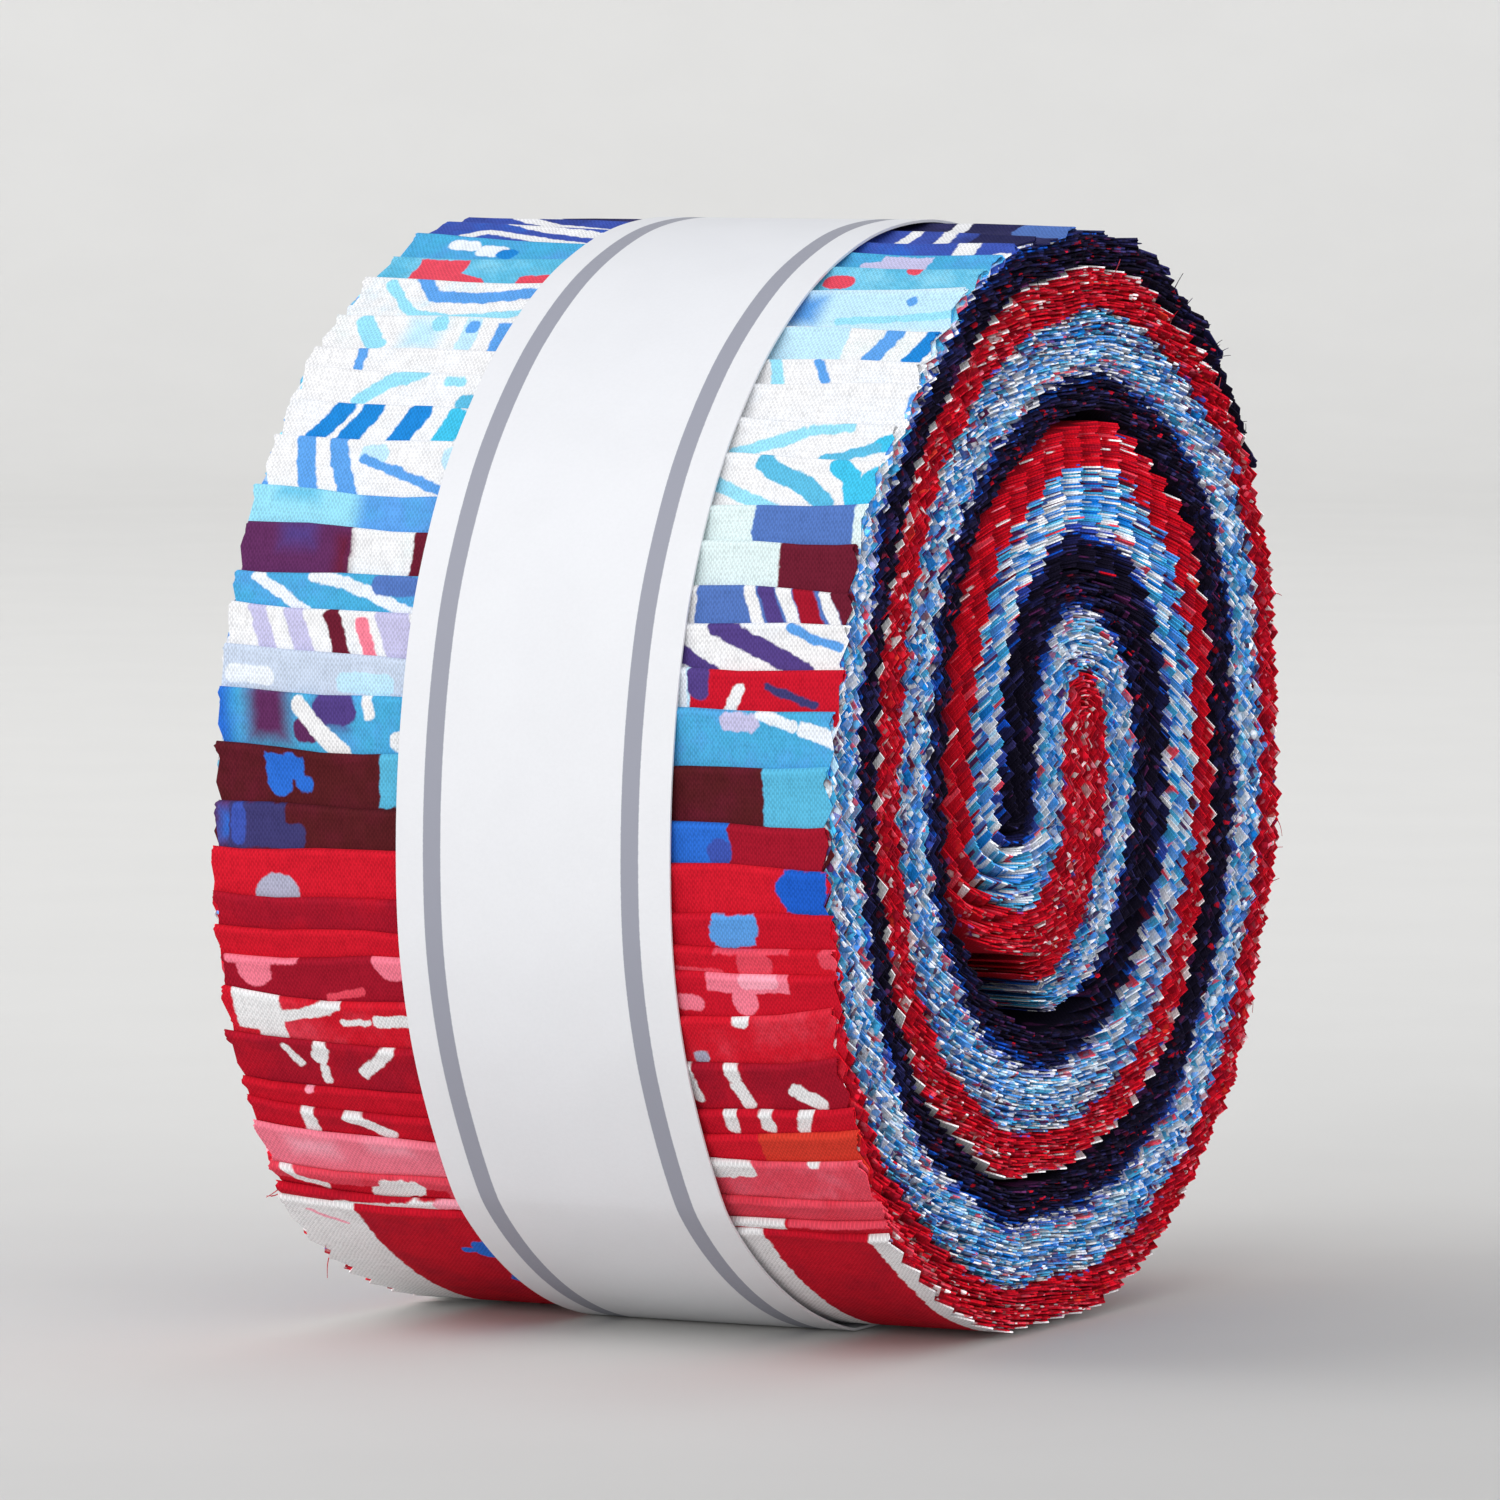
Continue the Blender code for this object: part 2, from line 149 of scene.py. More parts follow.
# The strips' prints, from the lowest fold up and over the top, with an empty line between them. The first
# line of one has the dye of its ground, the dye that mottles it, and the dyes of the rest of the strip,
# each with its share. Its marks follow, in millimetres from the middle of the strip and from its fold. A
# bar has a dye, a width and the points that it runs through. A box has a dye, two sides and two ends, and
# a wash is a box with soft edges. A spot has a dye, a centre and one or two radii.
PRINT_TABLE = """
red dark_red white 2 red 7 dark_red 2 blue 1
box white -40 -24.3 -9 600; box white 12 18.1 -9 600; box white 28.9 40 -9 600;
bar rose 0.5 -29.5 1.6 -26.2 3.4; spot blue -13.6 6.9 1.1 1.6; bar blue 0.9 -12 3.6 -13.6 6.8 -15.8 7.1;
spot blue -12.6 14 0.9 2; bar blue 1.4 -12 11 -13.4 14 -11 18; spot blue -4 52 3 2.4;
bar white 2 -20 40 -12 47 -9 58; spot blue 24 66 2.2 3; bar white 2.2 -22 84 -14 92 4 95;
spot blue -17 112 3 3; bar white 2 21 98 25 108 22 124; spot blue 5 128 3.4 2.4;
bar white 2.4 -20 138 -8 146 9 144

red dark_red red 7 dark_red 2 white 1 coral 1
bar white 1.3 -26 1.3 -16 0.7; bar rose 1.2 -15.6 0.6 -11 0.3; box white 12 20.6 -1.5 1;
box coral 20.9 34 -1.5 0.4

coral scarlet red 6 coral 2 dark_red 2 white 1
box red -34 -14 1.6 4; spot white -18.6 1.5 2.4 1.2; spot white -20.2 2.4 2 1;
bar white 0.9 -30.5 -0.6 -29.4 1.2 -26.8 2

coral pink coral 4 red 5 rose 1
box pink -34 -10 -2 6; wash rose -28.5 -24 1 3; wash rose -20 -16 0.6 1.6; spot white 16.4 0.8 1.9 1.4;
spot white 18.6 0.9 1.3 1; spot white 26.3 -0.2 0.7

red dark_red dark_red 3 red 6 white 1 orange 2
box orange 20.8 40 -2 5; box scarlet 12 20.8 -2 5; bar white 1.5 -26 0.2 -26 3;
bar white 1.5 -21.6 0.3 -19.4 1.2 -17.8 2.3

red scarlet scarlet 7 red 2 white 1
bar white 1.4 18.8 -0.5 18.6 1.9; bar white 1.4 22.5 -0.5 22.3 1.8; bar white 1.4 26.7 -0.4 25.9 1.8;
spot rose -25 0.1 0.5

dark_red red dark_red 7 red 3 white 1
bar white 0.9 -26.2 0.7 -25.2 2.6; bar white 1.5 -22.4 0.4 -23 1.8; bar white 1 -22.8 2.8 -22.9 4.4;
bar white 1.3 -18.6 3 -15.2 0.1; bar white 1.5 20 -0.4 20.1 1.3; bar white 1.4 20.1 2.3 20.8 4.2;
bar white 1.5 25.9 2.7 28.2 4.4; bar white 0.9 15.4 0 15.8 4

scarlet coral red 7 dark_red 2 white 1 coral 1
box white -30.8 -25.9 -0.4 4; spot white -27.4 4 1.5 0.9; bar white 1.2 -26 2 -23 1.2 -20 0.1;
bar white 0.7 -19.8 2.1 -17 2; bar white 1.3 -16 1.9 -11 1.9; spot white 21.6 0.1 0.9;
spot grey 16.9 4.1 0.8 0.6

red scarlet red 5 dark_red 5 pink 1
box dark_red -34 -10 -2 6; spot pink -28.4 1 1.8 1.9; spot pink -13.8 0.2 2 2;
bar pink 0.8 -31 0.3 -24 0; bar coral 0.8 -21 3.9 -17.5 3.4; box pink 18.4 26.6 -0.6 1.7;
spot pink 22 2.4 1.3 1.6; spot rose 23.6 0.5 2 0.8; spot pink 16.4 3 1.4 0.8

scarlet red scarlet 7 coral 3
spot coral 23.4 1.4 1.8 1.4; box coral 19.5 27 -0.6 0.4; bar coral 0.7 15 2.3 20 2.2;
spot coral 31 0.9 1.2 1

dark_red red dark_red 4 red 6 sky 1
box red 12 40 -2 5; box sky 19.5 23.6 0.1 3.1; spot sky 20.2 1.7 1.2 1.2; spot sky 23.2 1.2 0.8 1.1

scarlet red scarlet 8 cobalt 1 maroon 1
spot grey -25.1 4.5 2.3 2.4; box cobalt 27 31.2 0 4; bar cobalt 2.3 27.6 1.4 27 2;
spot cobalt 27.6 2.6 1.2 1.1

brown maroon white 3 sky 2 maroon 2 dusk 2
box maroon 12 40 -2 6; box dark_red 21.2 40 -2 6; wash blue -31.5 -27 0.6 3.2;
box dusk -30.6 -24.6 0 3.9; spot dusk -24.2 2.8 1.8 1.2; spot royal -29.6 1.8 0.8 1.8;
box blue 12 21.2 -0.5 3.8; spot royal 20.2 2.6 1.2 1.3

brown maroon brown 3 white 2 aqua 3 blue 2
box blue -26.6 -22.6 0.4 2.6; spot blue -25.2 2.9 1.3 1.2; spot blue -22.6 2.9 0.9 0.8;
box aqua -14.6 -8 -1 4.9; box aqua 24.7 40 -1 6

turquoise sky white 2 turquoise 4 plum 2 blue 2
wash blue -36 -30.4 -1 6; wash plum -28.6 -24.4 -1 4.4; wash purple -21.4 -18.4 -1 3;
spot plum -22.6 3.2 1.4 1.1; spot purple -19.6 1.2 2.2 1.4; bar white 1.7 -23.3 1 -21.5 3 -18.6 5.4;
bar white 1.1 -16.2 -0.2 -16 1.8; spot white -13 4 0.9; spot lilac 22 1 2 0.8;
bar snow 1 24 0.2 27.5 1.2; bar snow 1.5 28.5 1.5 33 2.9

pale snow snow 4 sky 4 red 2
box mist -34 -8 -1 5; spot snow -29 2.6 2.6 0.8; spot pale -17 2.6 3 1; box red 16.3 40 -1 5;
box snow 10 16 -1 5; spot purple 17.2 1.2 1.1 1.6; bar dusk 0.7 24 1.4 29 3.2;
bar white 1.2 21.3 1.6 20.2 4.2

white snow white 3 purple 2 maroon 1 azure 3
bar lilac 1.8 -28.8 0.2 -27 4.6; bar lilac 1.9 -25 0.2 -23.2 4.6; bar maroon 1.7 -20.8 0.6 -19.4 4.6;
bar pink 1.4 -17.6 1.2 -16.4 4.6; bar lilac 3.4 -14.6 0.4 -13 4.4; bar purple 1.8 18.6 0.1 22.5 2 28 4.7;
bar purple 1.5 14 2 18.6 4.6; bar sky 0.9 26 0.4 28.5 1.5 31 2.1

turquoise sky azure 4 white 2 slate 3 maroon 1
bar snow 1.1 -29.6 0.3 -27 1.8 -24 3.8; bar snow 1.2 -23.6 0.2 -18 1.6 -13 3.6; spot slate -15 1 2.6 0.9;
box slate 10 33 -1 5; box white 10 15.9 -1 5; bar white 1.2 20.9 -0.4 22.4 4;
bar purple 1.5 22.6 -0.4 24.2 4; bar white 1.3 24.2 -0.4 26.2 4; bar dark_red 2 26.2 -0.4 28 4;
bar white 1.2 28.4 -0.4 30.2 4; bar maroon 2.6 30.4 -0.4 32.4 4

white mint white 4 turquoise 3 plum 2 maroon 2
box plum -34 -20.7 -1 5; wash purple -28 -24.6 0 2; wash maroon -22 -20.9 1 5; box maroon -14.2 -8 -1 5;
box mint 10 23.4 -1 5; box maroon 23.4 40 -1 5

sky turquoise turquoise 5 white 3 slate 2
wash ice -34 -20.6 -1 5; wash aqua -29 -25 0 1; box mint 10 20.3 -1 4; box slate 20.3 30.5 -1 4;
box mint 30.5 40 -1 4

white snow white 3 sky 4 azure 3
bar sky 2 -28.4 0.6 -28 2.8 -26.9 6; bar sky 2 -25 0.4 -24.4 2.6 -22.6 6; spot pale -21 1.6 1.5 1;
bar sky 1 -22 2.1 -18.6 3.2 -12 5.6; spot pale -12.6 1.8 1.2 1.2;
bar aqua 1.9 19.4 0.9 21 1.8 24 2.8 26.6 4.8; bar ice 1.3 15 3.3 21.5 5.6;
bar cyan 1.9 27 0.7 28.6 2 29.4 4.4 31.4 5.8; spot cyan 31.6 2.9 2.2 2.2

white snow azure 5 white 4 aqua 1
bar azure 2 -25.4 0.4 -28 4.2; bar azure 2.2 -22.4 0.4 -24.6 4.2; bar azure 2.3 -17.4 0.5 -19.2 4.3;
bar cyan 2.3 -13.4 1.1 -14.6 4.3; bar ice 0.9 27 0.5 23 1; bar ice 1.3 22.4 1.3 16 4;
bar cyan 1.8 34 1.3 30.4 2.2; bar aqua 1.2 30 2.6 25 4.2

white snow white 5 sky 3 azure 2
bar ice 1.4 -19 0.2 -22.4 1.3 -25.2 3.4; spot ice -15.5 1 1.1 0.5; spot aqua -13.4 3.3 1.4 1;
spot sky 32.2 2.2 1.2 1.4

white snow white 5 aqua 3 sky 2
bar sky 1 -26.4 -0.4 -26.4 2.6; bar ice 1.2 16.6 0.2 17.6 2.8; bar sky 0.9 21 0.5 22.3 2.7

white mint azure 3 pale 4 white 2
bar ice 2 -28.6 1 -26.2 4.3; wash pale -23.6 -19.9 0.6 4.6; spot ice -20.4 1.2 0.9 1;
box pale -17.7 -15.9 0.4 4.7; spot sky -16.7 1.4 0.7 0.8; box sky -14.2 -8 0.8 5; box pale 10 22.4 0.2 5;
bar sky 1.8 27 0.4 25.4 4.2; bar azure 1.9 31 0.6 29.6 4.1

white pale turquoise 4 white 3 sky 3
bar ice 1.1 -29 1 -27 3 -25 4.7 -20 5.4 -11 4.4; bar sky 1.5 -25.6 0.2 -23.6 2.4 -18 2.3 -11 1.4;
wash pale 10 40 0 6; wash sky 14.6 17.6 1 5; spot sky 26.4 1.8 0.6 0.6; bar ice 1 20 4.6 33 3.4

aqua ice turquoise 5 coral 2 white 2
box coral -28.6 -23.2 0.5 4.6; bar coral 2 -24 3.6 -20.8 4.8; bar coral 1.7 -16 4.2 -9 3.2;
spot coral 17 2.8 1.6 1.2; spot coral 24.1 0.2 0.8 1

turquoise sky sky 4 lilac 2 white 3
spot snow -25.6 1.6 1.8 0.8; spot snow -22.2 2.2 1.8 1; spot azure -20.3 2.6 1.2 0.9;
box lilac 19.6 24.8 0.6 3.4; bar lilac 1.6 18.4 2.6 22 2

royal blue royal 5 white 3 blue 2
bar white 1.2 -27.6 4.6 -25.4 2.9 -19 3.6 -10 4.6; bar white 1.4 -25 -0.4 -20 1 -10 2;
box white 25.4 27.7 0.3 2.9; spot white 31 2.8 1.4 0.9

royal navy royal 4 white 2 navy 4
bar white 1.4 -26 0 -21 2.4 -12 4; bar white 1.4 18.4 -1 18.2 5.6; bar white 1.5 21.8 -1 22.4 5;
box navy 25 40 -1 4.4

navy dusk navy 5 cobalt 2 white 1 ink 2
bar white 1.5 -27 -1 -23 3 -20 7; bar white 1.6 19.4 -1 21 7; spot slate 29 2 3.4 2

navy slate navy 5 cobalt 2 ink 3
spot ink 27 3 4 2; bar cobalt 1.4 17 0 22 6; bar snow 1 -24 0 -18 6

navy ink ink 4 navy 4 maroon 1
spot slate 22 3 5 2; bar cobalt 1.2 -22 0 -14 5

dusk navy ink 5 navy 3 red 1
spot ink 24 3 4 2; spot sky -18 3 2 1.4

navy ink ink 6 dusk 2 red 1
bar slate 1.4 -24 1 -14 4; spot dusk 20 2 4 2

ink dusk ink 6 dusk 3 red 1
spot navy -10 2 6 2; bar cobalt 1.2 14 0 26 4

navy ink ink 7 plum 1 navy 2
spot ink 8 2 8 2; bar slate 1 -26 0 -16 4

ink navy ink 6 navy 3 maroon 1
spot navy -14 2 5 2; spot dusk 18 2 5 2

ink navy ink 8 dusk 1 red 1
bar navy 1.8 -24 0 -8 3; spot navy 12 2 5 1

ink dusk ink 7 plum 1 navy 2
spot dusk -20 2 5 1; spot navy 4 2 6 1.4
"""


def read_print(text):
    """One print from its lines: its ground, its mottling dye, its dyes and shares, and its marks."""
    first, *lines = text.strip().splitlines()
    ground, mottle, *shares = first.split()
    marks = [(kind, dye, [float(number) for number in numbers])
             for kind, dye, *numbers in (mark.split() for mark in " ".join(lines).split(";"))]
    return ground, mottle, shares, marks


PRINTS = [read_print(text) for text in PRINT_TABLE.split("\n\n")]


def linear_color(text):
    """Scene-linear red, green and blue from six hexadecimal digits of sRGB."""
    values = [int(text[i:i + 2], 16) / 255 for i in (0, 2, 4)]
    return [v / 12.92 if v <= 0.04045 else ((v + 0.055) / 1.055) ** 2.4 for v in values]


# Settings

def length_property(name, description, default):
    return FloatProperty(name=name, description=description, default=default, unit="LENGTH", subtype="DISTANCE")


def color_property(name, description, digits):
    return FloatVectorProperty(
        name=name, description=description, default=linear_color(digits), subtype="COLOR", min=0, max=1)


class RollDyes(bpy.types.PropertyGroup):
    """The dyes of the printed strips."""
    __annotations__ = {
        name: color_property(name.replace("_", " ").capitalize(), f"The dye called {name.replace('_', ' ')}", digits)
        for name, digits in DYES.items()}


class RollSizes(bpy.types.PropertyGroup):
    """The sizes of the strips, the band and the stage."""
    ply: length_property("Ply", "Thickness of one layer of cotton", 0.000160)
    tooth_pitch: length_property("Tooth pitch", "From one pinked tooth to the next", 0.0041)
    tooth_depth: length_property("Tooth depth", "From a tooth's tip to the notch beside it", 0.00205)
    fold_rise: length_property("Fold rise", "How far a folded end stands proud, because it is rounded", 0.00040)
    band_width: length_property("Band width", "Width of the paper band", 0.0281)
    band_thickness: length_property("Band thickness", "Thickness of the paper", 0.00025)
    thread_count: IntProperty(
        name="Loose threads", description="Threads that stand out of the pinked edges", default=150, min=0, max=2000)
    paper: color_property("Paper", "Colour of the band", "E0E1E4")
    paper_line: color_property("Printed line", "Colour of the two lines on the band", "8A8C99")
    floor: color_property("Floor", "Colour of the floor and backdrop", "E0DFDC")


class RollSettings(bpy.types.PropertyGroup):
    """All the settings of the roll."""
    sizes: PointerProperty(type=RollSizes, name="Sizes", description="Sizes and plain colours")
    dyes: PointerProperty(type=RollDyes, name="Dyes", description="Dyes of the prints")


# The winding: each piece has a centre, a radius and two angles, and the heights of its two ends.
# A centre or radius is a length plus a share of the inset, which is the distance from the outer face.

def winding_pieces():
    """The half turns and the straight sides between them, from the free ends out to the last fold, and
    the place of the lower centre."""
    low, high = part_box("strip_01")
    side = SIDE_GAP / 2
    outer_low = 3.5 * PITCH + side - (TURN_GAP / 2 + OUTER_CLEARANCE)
    outer_high = 3 * PITCH + side - (TURN_GAP / 2 + OUTER_CLEARANCE)
    top = (high.z - low.z) - PRESS * (outer_high + outer_low * FOOT)
    place = (high.y - (side - PITCH / 2 + outer_low), low.z + PRESS * outer_low * FOOT)
    half_turns = [
        (-PITCH, 0.5, 0.0, PITCH, 0.5, -130, 0),
        (0, 0, top, 0, 1, 0, 180),
        (-PITCH, 0, 0.0, PITCH, -1, 0, -180),
        (0, 0, top, 2 * PITCH, -1, 180, 0),
        (-PITCH / 2, 0, 0.0, 2.5 * PITCH, -1, 0, -180),
        (side, 0, top, 3 * PITCH + side, -1, 180, 0),
        (side - PITCH / 2, 0, 0.0, 3.5 * PITCH + side, -1, 0, -180),
        (side, 0, top, 4 * PITCH + side, -1, 180, 0),
    ]
    rows = []
    for number, (centre, share, level, radius, slope, first, last) in enumerate(half_turns):
        rows.append((centre, share, level, level, radius, slope, first, last))
        if number + 1 < len(half_turns):
            rows.append((centre, share, level, half_turns[number + 1][2], radius, slope, last, last))
    return np.array(rows), place


class Winding:
    """Where the stack runs in the cross-section, by piece and share of the piece, and by depth."""
    reference = 6.5  # the top of the half turn round the core
    start = 13.0  # where the stack starts up the -Y side for the last time

    def __init__(self):
        self.rows, self.place = winding_pieces()
        self.stations = np.concatenate(
            [np.linspace(piece, piece + 1, 25 if piece % 2 else 241)[:-1] for piece in range(len(self.rows))]
            + [[len(self.rows)]])

    def at(self, station, depth):
        """Y and Z: the centre plus the radius at the angle, pressed flatter, and flat at the foot."""
        piece = np.clip(station.astype(int), 0, len(self.rows) - 1)
        share = station - piece
        centre, slide, low, high, radius, slope, first, last = np.moveaxis(self.rows[piece], -1, 0)
        inset = TURN_GAP / 2 + depth
        angle = np.radians(first + (last - first) * share)
        r = radius + slope * inset
        rise = np.maximum(np.sin(angle), -FOOT)
        y = centre + slide * inset + r * np.cos(angle) + self.place[0]
        z = low + (high - low) * share + PRESS * r * rise + self.place[1]
        return y, z

    def radius_at(self, station, depth):
        """The radius of the turn there, or a metre on a straight side."""
        piece = np.clip(station.astype(int), 0, len(self.rows) - 1)
        return np.where(piece % 2 == 1, 1.0, self.rows[piece, 4] + self.rows[piece, 5] * (TURN_GAP / 2 + depth))

    def lengths(self, depth):
        """The distance along the stack at each station, at one depth."""
        y, z = self.at(self.stations, np.full(len(self.stations), depth))
        return np.concatenate([[0], np.cumsum(np.hypot(np.diff(y), np.diff(z)))])


def bell(distance, width):
    """A bell curve, 1 at no distance and 1/e at its width."""
    return np.exp(-((distance / width) ** 2))


def looseness(from_core):
    """From 0 round the core to 1 outside, by the distance along the stack from the core's turn."""
    return np.clip((np.abs(from_core) - LOOSE_START) / LOOSE_RANGE, 0, 1)


def ply_stations(winding, depth, first, last, pitch, random):
    """Distances along one ply, measured from the reference station, where its teeth have points or
    notches, with more of them where the turn is tight, and how many teeth come before each of them.
    The teeth line up near the reference station and slip further out. Also the ply's own table."""
    lengths = winding.lengths(depth)
    zero, low, high = np.interp([winding.reference, first, last], winding.stations, lengths)
    low, high = low - zero, high - zero
    eighth = pitch / 8
    index = np.arange(math.ceil(low / eighth), math.floor((high - NOSE_ROOM) / eighth) + 1)
    along = index * eighth
    radius = winding.radius_at(np.interp(along + zero, lengths, winding.stations), depth)
    every = np.where(radius < 0.006, 1, np.where(radius < 0.013, 2, 4))
    along, index = along[index % every == 0], index[index % every == 0]
    slip = looseness(along) * pitch / 2
    along = along + slip * (random.uniform(-1, 1) + 0.3 * np.sin(along * 31 + random.uniform(0, 6)))
    kept = (along > low + 0.0004) & (along < high - NOSE_ROOM)
    tooth = np.concatenate([[index[kept][0] / 8 - 0.2], index[kept] / 8])
    return np.concatenate([[low], along[kept]]), tooth, high, zero, lengths


def strip_surface(winding, index, sizes, random):
    """A folded strip as a closed thin sheet: a grid of stations along it and columns across it.

    The sheet's centre line runs out along the upper ply, round the rounded fold and back along the
    lower ply. It is written as a distance from the fold and a depth in the stack, its two faces lie
    half a ply to each side of it, and the winding places them. The edge is a triangle wave of the
    distance along each ply. Returns the points, the map of the cloth in metres, and how loose its
    edge is there, from 0 round the core to 1 outside.
    """
    middle = (index + 0.5) * STRIP_THICKNESS
    quarter = STRIP_THICKNESS / 4
    lengths = winding.lengths(middle)
    reference, start = np.interp([winding.reference, winding.start], winding.stations, lengths)
    fold_along = start + FIRST_FOLD + sum(FOLD_STEPS_MM[:index]) / 1000
    free_along = fold_along - STRIP_LENGTH / 2 - random.uniform(*FREE_END_EXTRA)
    fold, free = np.interp([fold_along, free_along], lengths, winding.stations)

    plies = []
    for side in (-1, 1):
        along, tooth, high, zero, table = ply_stations(
            winding, middle + side * quarter, free, fold, sizes.tooth_pitch, random)
        gap = np.concatenate([high - along, NOSE])
        tooth = np.concatenate([tooth, tooth[-1] + (high - NOSE - along[-1]) / sizes.tooth_pitch])
        rise = sizes.fold_rise * bell(gap, RISE_REACH) if side < 0 else 0
        rounded = np.sqrt(1 - (1 - np.minimum(gap / NOSE_DEPTH, 1)) ** 2)
        plies.append((gap, middle + side * (quarter + rise) * rounded, tooth, zero + high, table))

    over, under = plies
    upper = len(over[0])
    on_top = np.arange(upper + 1 + len(under[0])) <= upper
    gap = np.concatenate([over[0], [0], under[0][::-1]])
    depth = np.concatenate([over[1], [middle], under[1][::-1]])
    tooth = np.concatenate([over[2], [over[2][-1]], under[2][::-1]])
    from_core = np.concatenate([over[3] - over[0], [0], under[3] - under[0][::-1]])
    ahead = -np.gradient(gap)
    ahead[upper - 1:upper + 2] = [0.5 * NOSE[-1], 0, -0.5 * NOSE[-1]]
    deeper = np.gradient(depth)
    size = np.hypot(ahead, deeper)
    out_along, out_depth = deeper / size, -ahead / size
    half = sizes.ply / 2

    # The pinked edges, with their teeth pressed flatter at a fold and where the stack is loose
    loose = looseness(from_core - reference)
    ragged = random.uniform(-1, 1, (2, len(tooth))) * (RAGGED + RAGGED_LOOSE * loose)
    slip = random.uniform(-SLIP, SLIP)
    drift = DRIFT * np.sin(np.linspace(0, 9 + index % 5, len(tooth)) + index)
    shallow = (1 - 0.55 * bell(gap, PRESSED_REACH)) * (1 - 0.3 * loose)
    notch = sizes.tooth_depth * np.abs((tooth % 1) * 2 - 1) * shallow
    edge = STRIP_WIDTH / 2 - notch
    ragged = ragged * shallow - FRAY * loose
    x = np.empty((len(tooth), len(COLUMNS) + 2))
    x[:, 0] = -edge - notch * 0.45 * bell(gap, 0.009) + ragged[0] + slip + drift
    x[:, 1:-1] = COLUMNS + slip + drift[:, None]
    x[:, -1] = edge + ragged[1] + slip + drift

    # The fold isn't quite straight: it leans, waves and turns up at the roll's ends
    curl = 0.0014 if index < 8 else 0.0004
    shift = FOLD_LEAN.get(index, 0) * x + curl * np.abs(x / 0.032) ** 5
    shift = shift + 0.00014 * np.sin(x * 190 + index * 2.1) + 0.0001 * np.sin(x * 420 + index)
    shift = shift * bell(gap, LEAN_REACH)[:, None]

    # The rounded fold swells and sinks along its length, but not under the band
    puff = 0.5 * np.sin(x * 240 + index * 1.7) if index < 12 else 0.3 * np.sin(x * 150 + index)
    clear_of_band = 1 / (1 + np.exp(-(np.abs(x - BAND_MIDDLE) - 0.0155) / 0.0006))
    level = np.where(on_top, middle - quarter, middle + quarter)
    swell = (depth - level)[:, None] * np.where(on_top[:, None], 1 + puff * clear_of_band * 0.8, 1)
    faces, cloth = [], []
    for face in (1, -1):
        along = -gap[:, None] + face * half * out_along[:, None] + shift
        deep = level[:, None] + swell + face * half * out_depth[:, None]
        station = np.empty_like(along)
        for rows, ply in ((on_top, over), (~on_top, under)):
            station[rows] = np.interp(along[rows] + ply[3], ply[4], winding.stations)
        faces.append(np.stack([x, *winding.at(station, deep)], -1))
        cloth.append(np.stack([np.where(on_top, gap, -gap)[:, None] + 0 * x, x - slip], -1))
    points = np.stack(faces)
    return settle(points), np.stack(cloth), np.broadcast_to(loose[None, :, None], points.shape[:3])


def settle(points):
    """Shifts the cross-section by slow waves that grow towards the roll's two ends and fade at the
    foot, so that the coil isn't a drawn one. The same place always moves the same way."""
    x, y, z = points[..., 0], points[..., 1], points[..., 2]
    ends = np.clip((np.abs(x - BAND_MIDDLE) - 0.0165) / 0.014, 0, 1)
    amount = (0.12 + 0.88 * ends ** 2 * (3 - 2 * ends)) * np.clip(z / 0.012, 0, 1)
    sign = np.sign(x)
    dy = 0.00034 * np.sin(230 * z + 60 * y + 1.3 * sign) + 0.00026 * np.sin(430 * z - 210 * y + 0.6)
    dz = 0.00034 * np.sin(210 * y - 90 * z + 0.4 + sign) + 0.00024 * np.sin(470 * y + 160 * z + 2.1)
    moved = points.copy()
    moved[..., 1] = y + amount * dy
    moved[..., 2] = z + amount * dz
    return moved


def thin_sheet_faces(rows, columns):
    """Quads of a sheet with two faces, whose points run face, row, column: both faces and the rim."""
    index = np.arange(2 * rows * columns).reshape(2, rows, columns)
    front, back = index
    quads = [
        np.stack([front[:-1, :-1], front[:-1, 1:], front[1:, 1:], front[1:, :-1]], -1).reshape(-1, 4),
        np.stack([back[:-1, :-1], back[1:, :-1], back[1:, 1:], back[:-1, 1:]], -1).reshape(-1, 4),
        np.stack([front[:-1, -1], back[:-1, -1], back[1:, -1], front[1:, -1]], -1),
        np.stack([front[:-1, 0], front[1:, 0], back[1:, 0], back[:-1, 0]], -1),
        np.stack([front[0, 1:], front[0, :-1], back[0, :-1], back[0, 1:]], -1),
        np.stack([front[-1, :-1], front[-1, 1:], back[-1, 1:], back[-1, :-1]], -1),
    ]
    return np.concatenate(quads)


def mesh_object(name, points, faces, cloth=None, smooth_angle=50, rim=None):
    """A mesh from an array of points and one of faces with equal numbers of corners. Its rim, if it
    has one, is the first and last of the faces along a cut edge, which are marked as cut."""
    mesh = bpy.data.meshes.new(name)
    mesh.vertices.add(len(points))
    mesh.vertices.foreach_set("co", np.ascontiguousarray(points, np.float32).ravel())
    corners = faces.shape[1]
    mesh.loops.add(faces.size)
    mesh.loops.foreach_set("vertex_index", faces.ravel().astype(np.int32))
    mesh.polygons.add(len(faces))
    mesh.polygons.foreach_set("loop_start", np.arange(0, faces.size, corners, dtype=np.int32))
    mesh.polygons.foreach_set("use_smooth", np.ones(len(faces), bool))
    mesh.update(calc_edges=True)
    if cloth is not None:
        layer = mesh.uv_layers.new(name="Cloth")
        layer.data.foreach_set("uv", cloth[faces.ravel()].astype(np.float32).ravel())
    if rim is not None:
        cut = np.zeros(len(faces), np.float32)
        cut[rim[0]:rim[1]] = 1
        mesh.attributes.new("Cut", "FLOAT", "FACE").data.foreach_set("value", cut)
    mesh.set_sharp_from_angle(angle=math.radians(smooth_angle))
    if mesh.validate():
        raise RuntimeError(f"the mesh of {name} isn't valid")
    obj = bpy.data.objects.new(name, mesh)
    bpy.context.scene.collection.objects.link(obj)
    return obj


